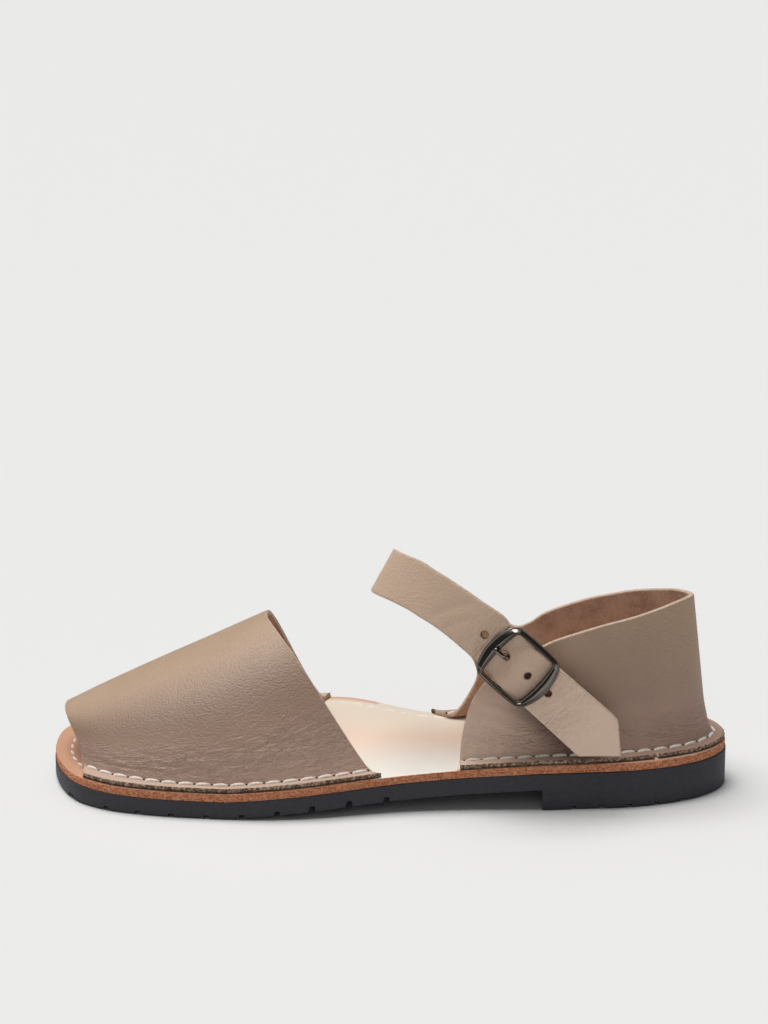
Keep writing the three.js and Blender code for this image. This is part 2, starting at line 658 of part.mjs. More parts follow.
// Buckle. Its own frame: x along the strap towards the tail, y across, z out of the shoe;
// z = 0 is the flesh side of the strap where it isn't lifted by the centre bar.
const buckle = new THREE.Group();
{
  const step = 2;
  const origin = new THREE.Vector3(...quarterSurface(buckleAt.place, buckleAt.height));
  const forward = new THREE.Vector3(...quarterSurface(
    buckleAt.place + step * strapAlong.x, buckleAt.height + step * strapAlong.y,
  )).sub(new THREE.Vector3(...quarterSurface(
    buckleAt.place - step * strapAlong.x, buckleAt.height - step * strapAlong.y,
  ))).normalize();
  const up = new THREE.Vector3(...quarterSurface(
    buckleAt.place - step * strapAlong.y, buckleAt.height + step * strapAlong.x,
  )).sub(new THREE.Vector3(...quarterSurface(
    buckleAt.place + step * strapAlong.y, buckleAt.height - step * strapAlong.x,
  ))).normalize();
  const out = new THREE.Vector3().crossVectors(forward, up).normalize();
  const across = new THREE.Vector3().crossVectors(out, forward);
  const basis = new THREE.Matrix4().makeBasis(forward, across, out);
  buckle.quaternion.setFromRotationMatrix(basis);
  buckle.position.copy(origin).addScaledVector(out, -STRAP_BUMP);
}
sandal.add(buckle);

const ringLow = UPPER_THICKNESS + 1.5 * CLEARANCE;
const barRadius = CENTRE_BAR_DIAMETER / 2;
const tabInner = barRadius + CLEARANCE;
const tabOuter = tabInner + TAB_THICKNESS;
const barLevel = STRAP_BUMP - tabOuter - 1.7 * CLEARANCE;

// A rectangle with rounded corners whose ends bow outwards.
function roundedRectangle(Path, length, width, corner, bow) {
  const path = new Path();
  const [x, y] = [length / 2, width / 2];
  path.moveTo(-x + corner, -y);
  path.lineTo(x - corner, -y);
  path.absarc(x - corner, -y + corner, corner, -Math.PI / 2, 0, false);
  path.quadraticCurveTo(x + 2 * bow, 0, x, y - corner);
  path.absarc(x - corner, y - corner, corner, 0, Math.PI / 2, false);
  path.lineTo(-x + corner, y);
  path.absarc(-x + corner, y - corner, corner, Math.PI / 2, Math.PI, false);
  path.quadraticCurveTo(-x - 2 * bow, 0, -x, -y + corner);
  path.absarc(-x + corner, -y + corner, corner, Math.PI, 1.5 * Math.PI, false);
  return path;
}

const FRAME_BEVEL = 0.35;
const WINDOW_CORNER = 1.2;
const EAR_LENGTH = 2.8;
function buckleFrame() {
  const bevel = FRAME_BEVEL;
  const ring = roundedRectangle(THREE.Shape, FRAME_LENGTH - 2 * bevel, FRAME_WIDTH - 2 * bevel,
    FRAME_CORNER - bevel, FRAME_BOW);
  ring.holes.push(roundedRectangle(THREE.Path, FRAME_LENGTH - 2 * END_BAR_WIDTH + 2 * bevel,
    FRAME_WIDTH - 2 * SIDE_BAR_WIDTH + 2 * bevel, WINDOW_CORNER, WINDOW_BOW));
  const plate = new THREE.ExtrudeGeometry(ring, {
    depth: FRAME_THICKNESS - 2 * bevel, bevelThickness: bevel, bevelSize: bevel,
    bevelSegments: 1, curveSegments: 5,
  });
  plate.translate(0, 0, ringLow + bevel);
  let body = solid(plate);
  const low = barLevel - barRadius;
  const high = ringLow + FRAME_THICKNESS / 2;
  for (const side of [-1, 1]) {
    const ear = new THREE.BoxGeometry(EAR_LENGTH, 0.85 * SIDE_BAR_WIDTH, high - low);
    ear.translate(0, side * (FRAME_WIDTH - SIDE_BAR_WIDTH) / 2, (high + low) / 2);
    body = body.add(solid(ear));
  }
  const bar = new THREE.CylinderGeometry(barRadius, barRadius, FRAME_WIDTH - SIDE_BAR_WIDTH, 12);
  const barSolid = solid(bar).translate([0, 0, barLevel]);
  return geometryOf(body.add(barSolid));
}

add('buckle_frame', buckleFrame(), gunmetal, buckle);

// Prong: an eye round the centre bar, and a pin up through the strap and over the end bar.
const EYE_WALL = 0.75;
const eyeInner = barRadius + CLEARANCE;
const eyeOuter = eyeInner + EYE_WALL;
function buckleProng() {
  const eye = new THREE.LatheGeometry([
    new THREE.Vector2(eyeInner, -PRONG_DIAMETER / 2),
    new THREE.Vector2(eyeOuter, -PRONG_DIAMETER / 2),
    new THREE.Vector2(eyeOuter, PRONG_DIAMETER / 2),
    new THREE.Vector2(eyeInner, PRONG_DIAMETER / 2),
    new THREE.Vector2(eyeInner, -PRONG_DIAMETER / 2),
  ], 16);
  const endBar = -FRAME_LENGTH / 2 + END_BAR_WIDTH / 2;
  const ringTop = ringLow + FRAME_THICKNESS;
  const rest = ringTop + CLEARANCE + PRONG_DIAMETER / 2;
  const path = new THREE.CatmullRomCurve3([
    new THREE.Vector3(-(eyeInner + eyeOuter) / 2, 0, barLevel),
    new THREE.Vector3(PRONG_HOLE + PRONG_DIAMETER, 0, barLevel),
    new THREE.Vector3(PRONG_HOLE, 0, UPPER_THICKNESS / 3),
    new THREE.Vector3(PRONG_HOLE - CLEARANCE, 0, rest - PRONG_DIAMETER),
    new THREE.Vector3(endBar + END_BAR_WIDTH / 2, 0, rest - CLEARANCE / 3),
    new THREE.Vector3(endBar, 0, rest),
    new THREE.Vector3(endBar - 0.75 * END_BAR_WIDTH, 0, rest - CLEARANCE / 3),
  ]);
  const section = new THREE.Shape();
  section.absarc(0, 0, PRONG_DIAMETER / 2, 0, 2 * Math.PI, false);
  const pin = new THREE.ExtrudeGeometry(section, {
    extrudePath: path, steps: 16, curveSegments: 5, bevelEnabled: false,
  });
  const eyeSolid = solid(eye).translate([0, 0, barLevel]);
  return geometryOf(eyeSolid.add(solid(pin)));
}
add('buckle_prong', buckleProng(), gunmetal, buckle);

// Tab: a strip folded round the centre bar, slotted for the prong, sewn on the quarter.
const TAB_SLOT = PRONG_DIAMETER + 3 * CLEARANCE;
function buckleTab() {
  const legTop = barLevel;
  const legLow = barLevel - tabOuter;
  const profile = new THREE.Shape();
  profile.moveTo(0, legLow);
  profile.lineTo(TAB_LEG, legLow);
  profile.lineTo(TAB_LEG, legTop - CLEARANCE);
  profile.lineTo(1.45 * tabOuter, legTop);
  profile.quadraticCurveTo(0.65 * tabOuter, barLevel + tabOuter, 0, barLevel + tabOuter);
  profile.absarc(0, barLevel, tabOuter, Math.PI / 2, 1.5 * Math.PI, false);
  const eye = new THREE.Path();
  eye.absarc(0, barLevel, tabInner, 0, 2 * Math.PI, true);
  profile.holes.push(eye);
  const strip = new THREE.ExtrudeGeometry(profile, {
    depth: TAB_WIDTH, bevelEnabled: false, curveSegments: 8,
  });
  strip.rotateX(Math.PI / 2);
  strip.translate(0, TAB_WIDTH / 2, 0);
  const slotEnd = eyeOuter + CLEARANCE;
  const slot = new THREE.BoxGeometry(2 * tabOuter + slotEnd, TAB_SLOT, 4 * tabOuter);
  slot.translate(slotEnd / 2 - tabOuter, 0, barLevel);
  return geometryOf(solid(strip).subtract(solid(slot)));
}
add('buckle_tab', buckleTab(), taupeLeather, buckle);

export default sandal;
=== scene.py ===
"""A left frailera sandal in taupe leather, buckled, on a pale studio floor.

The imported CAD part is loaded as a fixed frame. The leathers, soles, stitches and buckle are
modelled round it in fine detail, each in the place of the solid that it stands for. Lengths
are millimetres until a mesh is made: s runs along the sole from the toe tip to the heel,
y to the inner side, z up from the floor.
"""

import logging
import math
from dataclasses import dataclass, field, replace
from enum import Enum
from typing import Callable, Iterable, Sequence

import bpy
import numpy as np
from mathutils import Matrix, Vector
from mathutils.geometry import delaunay_2d_cdt


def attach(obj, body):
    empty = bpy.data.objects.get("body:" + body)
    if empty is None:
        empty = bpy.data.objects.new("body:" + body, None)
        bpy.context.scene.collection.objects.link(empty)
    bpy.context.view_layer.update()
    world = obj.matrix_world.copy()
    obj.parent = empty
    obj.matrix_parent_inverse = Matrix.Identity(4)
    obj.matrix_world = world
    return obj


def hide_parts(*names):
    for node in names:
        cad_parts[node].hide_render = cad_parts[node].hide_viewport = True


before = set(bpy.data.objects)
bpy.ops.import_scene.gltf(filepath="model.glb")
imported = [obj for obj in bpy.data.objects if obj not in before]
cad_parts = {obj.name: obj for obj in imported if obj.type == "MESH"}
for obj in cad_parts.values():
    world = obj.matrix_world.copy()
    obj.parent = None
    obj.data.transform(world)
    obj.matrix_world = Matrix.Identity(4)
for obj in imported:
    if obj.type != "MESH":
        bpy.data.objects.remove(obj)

Array = np.ndarray
Rows = Sequence[dict[str, float]]
Colour = tuple[float, float, float]
Pair = tuple[float, float]
Pairs = tuple[Pair, ...]
Piece = bpy.types.Object
Mesh = bpy.types.Mesh
Material = bpy.types.Material

MM = 0.001
WELD = 2e-6
OBJECT_COORDINATES = 3
log = logging.getLogger("sandal")


# ---------------------------------------------------------------- shapes of the last


def through(rows: Rows, key: str, column: str) -> Callable[[Array], Array]:
    """A smooth function through the rows of a table.

    Args:
        rows: the table, in rising order of key.
        key: the column that the function is asked by.
        column: the column that it gives.

    Returns:
        The function, flat beyond the table's ends.
    """
    x = np.array([row[key] for row in rows], float)
    y = np.array([row[column] for row in rows], float)
    ahead = np.minimum(np.arange(len(x)) + 1, len(x) - 1)
    behind = np.maximum(np.arange(len(x)) - 1, 0)
    slope = (y[ahead] - y[behind]) / (x[ahead] - x[behind])

    def value(at: Array) -> Array:
        """The table's smooth value at one or more places."""
        at = np.clip(at, x[0], x[-1])
        i = np.clip(np.searchsorted(x, at) - 1, 0, len(x) - 2)
        h = x[i + 1] - x[i]
        t = (at - x[i]) / h
        a = 2 * t**3 - 3 * t**2 + 1
        return (a * y[i] + (1 - a) * y[i + 1]
                + (t**3 - 2 * t**2 + t) * h * slope[i] + (t**3 - t**2) * h * slope[i + 1])

    return value


def table(columns: str, *rows: Sequence[float]) -> Rows:
    """Rows of numbers as dicts under the names in columns."""
    return [dict(zip(columns.split(), row)) for row in rows]


def mix(a: Array, b: Array, t: Array) -> Array:
    """From a to b by the share t."""
    return a + (b - a) * t


def hill(x: Array, middle: float, width: float) -> Array:
    """1 at the middle, falling to nothing on both sides."""
    return np.exp(-(((x - middle) / width) ** 2))


def rise_over(x: Array, start: float, reach: float) -> Array:
    """0 up to the start, 1 from a reach beyond it, straight between."""
    return np.clip((x - start) / reach, 0, 1)


def running(steps: Array) -> Array:
    """How far along a line each of its points lies, from the steps between them."""
    return np.concatenate([[0], np.cumsum(steps)])


def unit(vectors: Array) -> Array:
    """Vectors at length one."""
    return vectors / np.maximum(np.linalg.norm(vectors, axis=-1, keepdims=True), 1e-12)


@dataclass(frozen=True)
class Last:
    """The last's bottom and the heights of the sheets that follow it."""

    length: float = 252.0
    ball_width: float = 94.6
    heel_seat: float = 218.0
    rubber: float = 6.4
    clearance: float = 0.3
    insole: float = 2.8
    heel_lift: float = 7.7
    toe_spring: float = 1.0
    arch_raise: float = 4.6
    bare_from: float = 122.0
    bare_to: float = 152.0
    breast_share: float = 0.726
    tread_from: float = 0.2
    tread_to: float = 0.27
    arch_middle: float = 0.43
    arch_half: float = 0.16
    toe_reach: float = 0.2
    toe_power: float = 2.3
    heel_reach: float = 0.18
    heel_power: float = 1.85
    sections: Rows = field(default_factory=lambda: table(
        "along width middle",
        (0, 0.95, 0.072), (0.016, 0.947, 0.048), (0.04, 0.943, 0.02), (0.08, 0.939, 0.014),
        (0.14, 0.938, 0.0135), (0.2, 0.967, 0.013), (0.26, 1, 0.013), (0.317, 0.993, 0.004),
        (0.377, 0.939, -0.0095), (0.437, 0.851, -0.0206), (0.496, 0.754, -0.032),
        (0.556, 0.687, -0.041), (0.615, 0.661, -0.041), (0.675, 0.667, -0.0365),
        (0.734, 0.679, -0.0254), (0.794, 0.682, -0.0048), (0.853, 0.682, 0.005),
        (0.913, 0.682, 0.003), (0.96, 0.682, -0.008), (1, 0.682, -0.02),
    ))

    @property
    def breast(self) -> float:
        """Where the heel block begins."""
        return self.breast_share * self.length

    @property
    def insole_top(self) -> float:
        """The insole's top over the rubber's underside."""
        return self.rubber + self.clearance + self.insole

    @property
    def seat_level(self) -> float:
        """The flanges' underside at the heel."""
        return self.heel_lift + self.insole_top + self.clearance

    def outline(self, s: Array, side: Array, inset: Array = 0.0) -> Array:
        """Y of the outline.

        Args:
            s: millimetres from the toe tip.
            side: -1 for the outer side, 1 for the inner side.
            inset: how far inside the sole's edge.

        Returns:
            Y in millimetres.
        """
        share = s / self.length
        half = self.ball_width * through(self.sections, "along", "width")(share) / 2 - inset
        middle = self.ball_width * through(self.sections, "along", "middle")(share)

        def rounded(distance: Array, reach: float, power: float) -> Array:
            """The share of the full width near an end that is a superellipse."""
            t = np.clip(distance / reach, 0, 1)
            return (1 - (1 - t) ** power) ** (1 / power)

        toe = rounded(s - inset, self.toe_reach * self.length, self.toe_power)
        heel = rounded(self.length - inset - s, self.heel_reach * self.length, self.heel_power)
        return middle + side * half * toe * heel

    def shank(self, s: Array) -> Array:
        """Underside of the rubber before the heel: toe spring, flat tread and rise."""
        tread_start, tread_end = self.tread_from * self.length, self.tread_to * self.length
        toe = self.toe_spring * np.clip((tread_start - s) / tread_start, 0, 1) ** 2
        rise = np.clip((s - tread_end) / (self.breast - tread_end), 0, 1) ** 0.9
        return toe + self.heel_lift * rise

    def sheet(self, s: Array, y: Array, above: Array) -> Array:
        """Height of a sheet that lies so far above the rubber's underside."""
        outer, inner = self.outline(s, -1), self.outline(s, 1)
        turn = np.clip((s - self.arch_middle * self.length) / (self.arch_half * self.length), -1, 1)
        across = np.clip((y - outer) / np.maximum(inner - outer, 1), 0, 1)
        arch = self.arch_raise * np.cos(turn * np.pi / 2) ** 2 * across**2
        return self.shank(s) + arch + above

    def flange_seat(self, s: Array, y: Array) -> Array:
        """Height of the upper's flesh side where it lies on the insole."""
        return self.sheet(s, y, self.insole_top + self.clearance)

    def metres(self, s: Array, y: Array, z: Array) -> Array:
        """Points in the row frame, in metres."""
        return np.stack(np.broadcast_arrays(s - self.heel_seat, y, z), axis=-1) * MM


@dataclass(frozen=True)
class Upper:
    """What vamp and quarter share: their leather, fold and flange."""

    thickness: float = 1.8
    flange_margin: float = 0.8
    fold_radius: float = 2.2
    flare_reach: float = 17.0
    collar_height: float = 73.4

    def fold_out(self, rise: Array, flare: float) -> Array:
        """How far the leather lies outside its wall.

        Args:
            rise: height over the seat, negative along the flat flange.
            flare: how far the wall's foot is spread before the fold.

        Returns:
            Millimetres outwards.
        """
        curve = self.fold_radius - np.sqrt(np.maximum(
            self.fold_radius**2 - np.clip(self.fold_radius - rise, 0, self.fold_radius) ** 2, 0))
        spread = flare * np.clip(1 - np.maximum(rise, 0) / self.flare_reach, 0, 1) ** 2
        return spread + np.where(rise <= 0, self.fold_radius - rise, curve)


LAST = Last()
UPPER = Upper()


# ---------------------------------------------------------------- meshes


def deselect() -> None:
    """Leaves nothing selected before an operator acts."""
    bpy.ops.object.select_all(action="DESELECT")


def activate(obj: Piece) -> None:
    """Makes obj the only selected object and the active one."""
    deselect()
    obj.select_set(True)
    bpy.context.view_layer.objects.active = obj


def settle(obj: Piece, angle: float = 40.0, outward: bool = True) -> Piece:
    """Closes seams and poles, turns the faces outwards and shades them.

    Args:
        obj: the piece.
        angle: degrees above which an edge stays sharp.
        outward: whether the faces are recalculated.

    Returns:
        The piece.
    """
    activate(obj)
    bpy.ops.object.mode_set(mode="EDIT")
    bpy.ops.mesh.select_all(action="SELECT")
    bpy.ops.mesh.remove_doubles(threshold=WELD)
    if outward:
        bpy.ops.mesh.normals_make_consistent(inside=False)
    bpy.ops.object.mode_set(mode="OBJECT")
    bpy.ops.object.shade_smooth_by_angle(angle=math.radians(angle))
    return obj


def link(obj: Piece) -> None:
    """Puts an object in the scene."""
    bpy.context.scene.collection.objects.link(obj)


def keep_facts(mesh: Mesh, facts: dict[str, Array]) -> None:
    """Keeps a number of each vertex under each name, as point attributes."""
    for key, values in facts.items():
        mesh.attributes.new(key, "FLOAT", "POINT").data.foreach_set(
            "value", values.astype(np.float32))


def shaped_grid(name: str, points: Array, facts: dict[str, Array] | None = None) -> Piece:
    """A grid primitive whose every vertex is moved to its place in an array of points.

    Args:
        name: the piece's name.
        points: rows by columns by 3, in metres; ends that meet are merged.
        facts: point attributes, each rows by columns.

    Returns:
        The piece, at the origin.
    """
    rows, columns = points.shape[:2]
    deselect()
    bpy.ops.mesh.primitive_grid_add(x_subdivisions=rows - 1, y_subdivisions=columns - 1, size=1)
    obj = bpy.context.object
    obj.name = obj.data.name = name
    mesh = obj.data
    co = np.empty(len(mesh.vertices) * 3)
    mesh.vertices.foreach_get("co", co)
    co = co.reshape(-1, 3)
    i = np.rint((co[:, 0] + 0.5) * (rows - 1)).astype(int)
    j = np.rint((co[:, 1] + 0.5) * (columns - 1)).astype(int)
    mesh.vertices.foreach_set("co", points[i, j].ravel())
    keep_facts(mesh, {key: values[i, j] for key, values in (facts or {}).items()})
    mesh.update()
    return settle(obj)


def paint_uv(mesh: Mesh, flat: Array) -> None:
    """Keeps each vertex's place on the flat leather as the UV map Pattern."""
    corners = np.empty(len(mesh.loops), int)
    mesh.loops.foreach_get("vertex_index", corners)
    mesh.uv_layers.new(name="Pattern").data.foreach_set("uv", flat[corners].ravel())


def raw_mesh(name: str, points: Array, faces: Sequence[Sequence[int]],
             slots: Array, facts: dict[str, Array], flat: Array) -> Piece:
    """A piece of leather from its cut and wrapped points.

    Args:
        name: the piece's name.
        points: vertices in metres.
        faces: vertex numbers of each face.
        slots: material slot of each face.
        facts: point attributes by name.
        flat: each vertex's place on the flat leather.

    Returns:
        The piece, at the origin.
    """
    mesh = bpy.data.meshes.new(name)
    mesh.from_pydata(points.tolist(), [], [list(map(int, face)) for face in faces])
    mesh.polygons.foreach_set("material_index", slots.astype(np.int32))
    keep_facts(mesh, facts)
    paint_uv(mesh, flat)
    mesh.update()
    obj = bpy.data.objects.new(name, mesh)
    link(obj)
    return settle(obj, angle=70.0, outward=False)


def apply_all(obj: Piece) -> Piece:
    """Applies every modifier of obj in order."""
    activate(obj)
    for modifier in list(obj.modifiers):
        bpy.ops.object.modifier_apply(modifier=modifier.name)
    return obj


def joined(name: str, parts: list[Piece]) -> Piece:
    """One object from several, with its place in its mesh."""
    activate(parts[0])
    for part in parts:
        part.select_set(True)
    bpy.ops.object.join()
    obj = bpy.context.object
    obj.name = obj.data.name = name
    bpy.ops.object.transform_apply(location=True, rotation=True, scale=True)
    return obj


# ---------------------------------------------------------------- shader building


class Value:
    """A shader socket that Python's operators build Math nodes on."""

    def __init__(self, maker: "Finishing", socket: bpy.types.NodeSocket) -> None:
        """Holds the maker of nodes and an output socket."""
        self.maker = maker
        self.socket = socket

    def _math(self, operation: str, *terms: "Value | float") -> "Value":
        """A Math node on the terms."""
        return self.maker.node("ShaderNodeMath", {"operation": operation},
                               dict(enumerate(terms)))

    def __add__(self, other: "Value | float") -> "Value":
        """self + other."""
        return self._math("ADD", self, other)

    def __sub__(self, other: "Value | float") -> "Value":
        """self - other."""
        return self._math("SUBTRACT", self, other)

    def __rsub__(self, other: float) -> "Value":
        """other - self."""
        return self._math("SUBTRACT", other, self)

    def __mul__(self, other: "Value | float") -> "Value":
        """self * other."""
        return self._math("MULTIPLY", self, other)

    def __pow__(self, other: float) -> "Value":
        """self to a power."""
        return self._math("POWER", self, other)

    def ramp(self, low: float, high: float) -> "Value":
        """0 at low, 1 at high, smooth between."""
        return self.maker.node(
            "ShaderNodeMapRange", {"interpolation_type": "SMOOTHSTEP"},
            {"Value": self, "From Min": low, "From Max": high})


class Finishing:
    """Builds one material's nodes."""

    def __init__(self, name: str) -> None:
        """Starts the material with a bare Principled shader."""
        self.material = bpy.data.materials.new(name)
        self.material.use_nodes = True
        self.tree = self.material.node_tree
        self.shader = self.tree.nodes["Principled BSDF"]

    def node(self, kind: str, settings: dict[str, object] | None = None,
             sockets: dict[str | int, object] | None = None, output: int = 0) -> Value:
        """Adds a node.

        Args:
            kind: the node's type.
            settings: properties, set first.
            sockets: values or links of its inputs, by name or number.
            output: which output is given back.

        Returns:
            The output as a Value.
        """
        node = self.tree.nodes.new(kind)
        for key, value in (settings or {}).items():
            setattr(node, key, value)
        for key, value in (sockets or {}).items():
            if isinstance(value, Value):
                self.tree.links.new(value.socket, node.inputs[key])
            else:
                node.inputs[key].default_value = value
        return Value(self, node.outputs[output])

    def place(self, source: "Source", stretch: Sequence[float] = (1, 1, 1),
              turn: float = 0.0) -> Value:
        """Coordinates for a pattern, in metres of the object or of the flat leather.

        Args:
            source: what the pattern follows.
            stretch: how many times its features are drawn out along each axis.
            turn: the angle of those axes about z.

        Returns:
            The coordinates.
        """
        if source is Source.PATTERN:
            raw = self.node("ShaderNodeUVMap", {"uv_map": "Pattern"})
        else:
            raw = self.node("ShaderNodeTexCoord", output=OBJECT_COORDINATES)
        return self.node("ShaderNodeMapping", {"vector_type": "TEXTURE"},
                         {"Vector": raw, "Scale": tuple(stretch), "Rotation": (0, 0, turn)})

    def noise(self, size: float, place: Value, detail: float = 3.0, rough: float = 0.55) -> Value:
        """Noise whose features are size millimetres wide."""
        return self.node("ShaderNodeTexNoise", {}, {
            "Vector": place, "Scale": 1 / (size * MM), "Detail": detail, "Roughness": rough})

    def cells(self, size: float, place: Value) -> Value:
        """Distance from the middle of cells that are size millimetres wide."""
        return self.node("ShaderNodeTexVoronoi", {}, {"Vector": place, "Scale": 1 / (size * MM)})

    def fact(self, name: str) -> Value:
        """A point attribute of the piece."""
        return self.node("ShaderNodeAttribute", {"attribute_name": name}, output=2)

    def blend(self, share: Value | float, a: "Value | Colour", b: "Value | Colour") -> Value:
        """Colour a turned to colour b by a share."""
        def wide(colour: "Value | Colour") -> "Value | tuple[float, ...]":
            """A colour with its alpha."""
            return colour if isinstance(colour, Value) else (*colour, 1)
        return self.node("ShaderNodeMix", {"data_type": "RGBA"},
                         {0: share, 6: wide(a), 7: wide(b)}, output=2)

    def relief(self, height: Value, distance: float, strength: float = 1.0,
               normal: Value | None = None) -> Value:
        """A bump of so many millimetres."""
        sockets = {"Height": height, "Distance": distance * MM, "Strength": strength}
        if normal is not None:
            sockets["Normal"] = normal
        return self.node("ShaderNodeBump", {}, sockets)

    def finish(self, **sockets: object) -> Material:
        """Sets the shader's sockets, by their names in snake case, and gives the material."""
        names = {s.name.lower().replace(" ", "_"): s.name for s in self.shader.inputs}
        for key, value in sockets.items():
            socket = self.shader.inputs[names[key]]
            if isinstance(value, Value):
                self.tree.links.new(value.socket, socket)
            elif isinstance(value, tuple):
                socket.default_value = (*value, 1)
            else:
                socket.default_value = value
        return self.material


class Source(Enum):
    """What a pattern follows."""

    OBJECT = "object"
    PATTERN = "pattern"


def srgb(red: int, green: int, blue: int) -> Colour:
    """A screen colour as linear light."""
    def linear(part: int) -> float:
        """One channel."""
        c = part / 255
        return c / 12.92 if c <= 0.04045 else ((c + 0.055) / 1.055) ** 2.4
    return linear(red), linear(green), linear(blue)


@dataclass(frozen=True)
class Leather:
    """The upper's grain side: smooth taupe with fine pores and soft wrinkles, and painted light and
    shade.
    """

    # Mauve and gold are the shaded and the lit tone of one leather; pale is painted light, umber
    # painted shade.
    shaded_mauve: Colour = srgb(180, 148, 132)
    gold: Colour = srgb(188, 159, 132)
    warm: Colour = srgb(200, 167, 145)
    deep: Colour = srgb(112, 86, 76)
    pale: Colour = srgb(237, 207, 185)
    umber: Colour = srgb(110, 86, 75)
    strap_turn: float = 0.83

    @staticmethod
    def _cracks(f: Finishing, stretch: float, turn: float = 0.0) -> Value:
        """Thin lines, 1 in their middle, where a noise passes its mean."""
        noise = f.noise(1.5, f.place(Source.PATTERN, (stretch, 1, 1), turn), 3.0)
        return 1 - ((noise - 0.5) ** 2).ramp(0.0, 0.0022)

    @staticmethod
    def _waves(f: Finishing, stretches: Pair, broad: float,
               turn: float = 0.0) -> Value:
        """Wrinkles drawn out one way on the flat leather.

        Args:
            f: the maker of nodes.
            stretches: how far the fine and the broad ones are drawn out.
            broad: how many millimetres wide the broad ones are.
            turn: their direction.

        Returns:
            Their height, about 0 on average.
        """
        small = f.noise(0.9, f.place(Source.PATTERN, (stretches[0], 1, 1), turn), 3.0)
        large = f.noise(broad, f.place(Source.PATTERN, (stretches[1], 1, 1), turn + 0.1), 2.0)
        return (small - 0.5) * 1.3 + (large - 0.5) * 2.2

    def make(self) -> Material:
        """The material."""
        f = Finishing("taupe_leather")
        here, flat = f.place(Source.OBJECT), f.place(Source.PATTERN)
        patch = f.noise(16, here, 3.0).ramp(0.35, 0.7)
        fine = f.noise(0.6, here, 2.0)
        pores = f.cells(0.8, here)
        # Painted light: gold towards the top where the light falls, mauve lower down, broken up by
        # random patches.
        top_light = (f.fact("gold") + (f.noise(22, here, 2.0) - 0.5) * 0.7).ramp(0.15, 0.85)
        colour = f.blend(top_light, self.shaded_mauve, self.gold)
        colour = f.blend(patch * 0.3, colour, self.warm)
        # Painted light: paler on the lit strap and tail and low on the vamp's and quarter's walls.
        colour = f.blend(f.fact("painted_light"), colour, self.pale)
        # Painted shade: umber in the middles of the vamp and the quarter's wall, and the tail's
        # painted shadow.
        colour = f.blend(f.fact("shade"), colour, self.umber)
        on_wall, on_strap = f.fact("wrinkle"), f.fact("strap_wrinkle")
        ridges = (self._waves(f, (4.5, 3.6), 1.9) * on_wall
                  + self._waves(f, (4, 3.4), 2, self.strap_turn) * on_strap)
        lines = (self._cracks(f, 3.2) * on_wall
                 + self._cracks(f, 3, self.strap_turn) * on_strap * 0.3)
        # Pores darken the grain; the wrinkles' troughs and crease lines get painted shade.
        pores_and_crease_shade = (pores * -0.8 + fine * -0.5 - ridges * 0.5 + lines * 0.14 + 0.42).ramp(-0.05, 0.6)
        colour = f.blend(pores_and_crease_shade * 0.56, colour, self.deep)
        skin = pores * -0.6 + fine * 0.5 + f.noise(1.6, flat, 2.0) * 0.25
        normal = f.relief(ridges * 0.75 - lines * 0.25, 0.8, 1.0, f.relief(skin, 0.24))
        return f.finish(base_color=colour, roughness=pores_and_crease_shade * 0.14 + 0.47,
                        specular_ior_level=0.45, normal=normal)


@dataclass(frozen=True)
class Suede:
    """The upper's flesh side."""

    base: Colour = srgb(200, 164, 142)
    dark: Colour = srgb(170, 134, 114)
    pale: Colour = srgb(218, 186, 164)

    def make(self) -> Material:
        """The material."""
        f = Finishing("flesh_side")
        here = f.place(Source.OBJECT)
        nap = f.noise(1.1, here, 4.0, 0.7)
        colour = f.blend(f.noise(9, here).ramp(0.3, 0.7), self.dark, self.base)
        colour = f.blend(nap.ramp(0.4, 0.7) * 0.5, colour, self.pale)
        return f.finish(base_color=colour, roughness=0.9, specular_ior_level=0.2,
                        normal=f.relief(nap, 0.3, 0.8))


@dataclass(frozen=True)
class CutEdge:
    """The upper's cut edges: pale along collar and strap, partly a painted highlight, and dark and
    fibrous on the flange, with a painted shadow along its underside.
    """

    # Pale is partly the edge's own colour and partly a painted highlight along the collar and
    # strap.
    pale: Colour = srgb(236, 211, 190)
    tan: Colour = srgb(204, 174, 150)
    dark: Colour = srgb(104, 80, 64)
    # Painted shadow where the flange's edge meets the insole.
    gap: Colour = srgb(42, 31, 25)
    fibre: Colour = srgb(206, 178, 154)

    def make(self) -> Material:
        """The material."""
        f = Finishing("cut_edge")
        fibre = f.noise(1.1, f.place(Source.OBJECT), 5.0, 0.85)
        dark = f.blend(fibre.ramp(0.47, 0.57), self.dark, self.fibre)
        # Painted shadow: near black towards the flesh side of the flange's edge.
        dark = f.blend(f.fact("low").ramp(0.45, 0.95) * 0.85, dark, self.gap)
        # Pale edges, lightened further as a painted highlight.
        pale = f.blend(fibre.ramp(0.35, 0.65), self.tan, self.pale)
        return f.finish(base_color=f.blend(f.fact("flange"), pale, dark), roughness=0.9,
                        specular_ior_level=0.2, normal=f.relief(fibre, 0.6, 1.0))


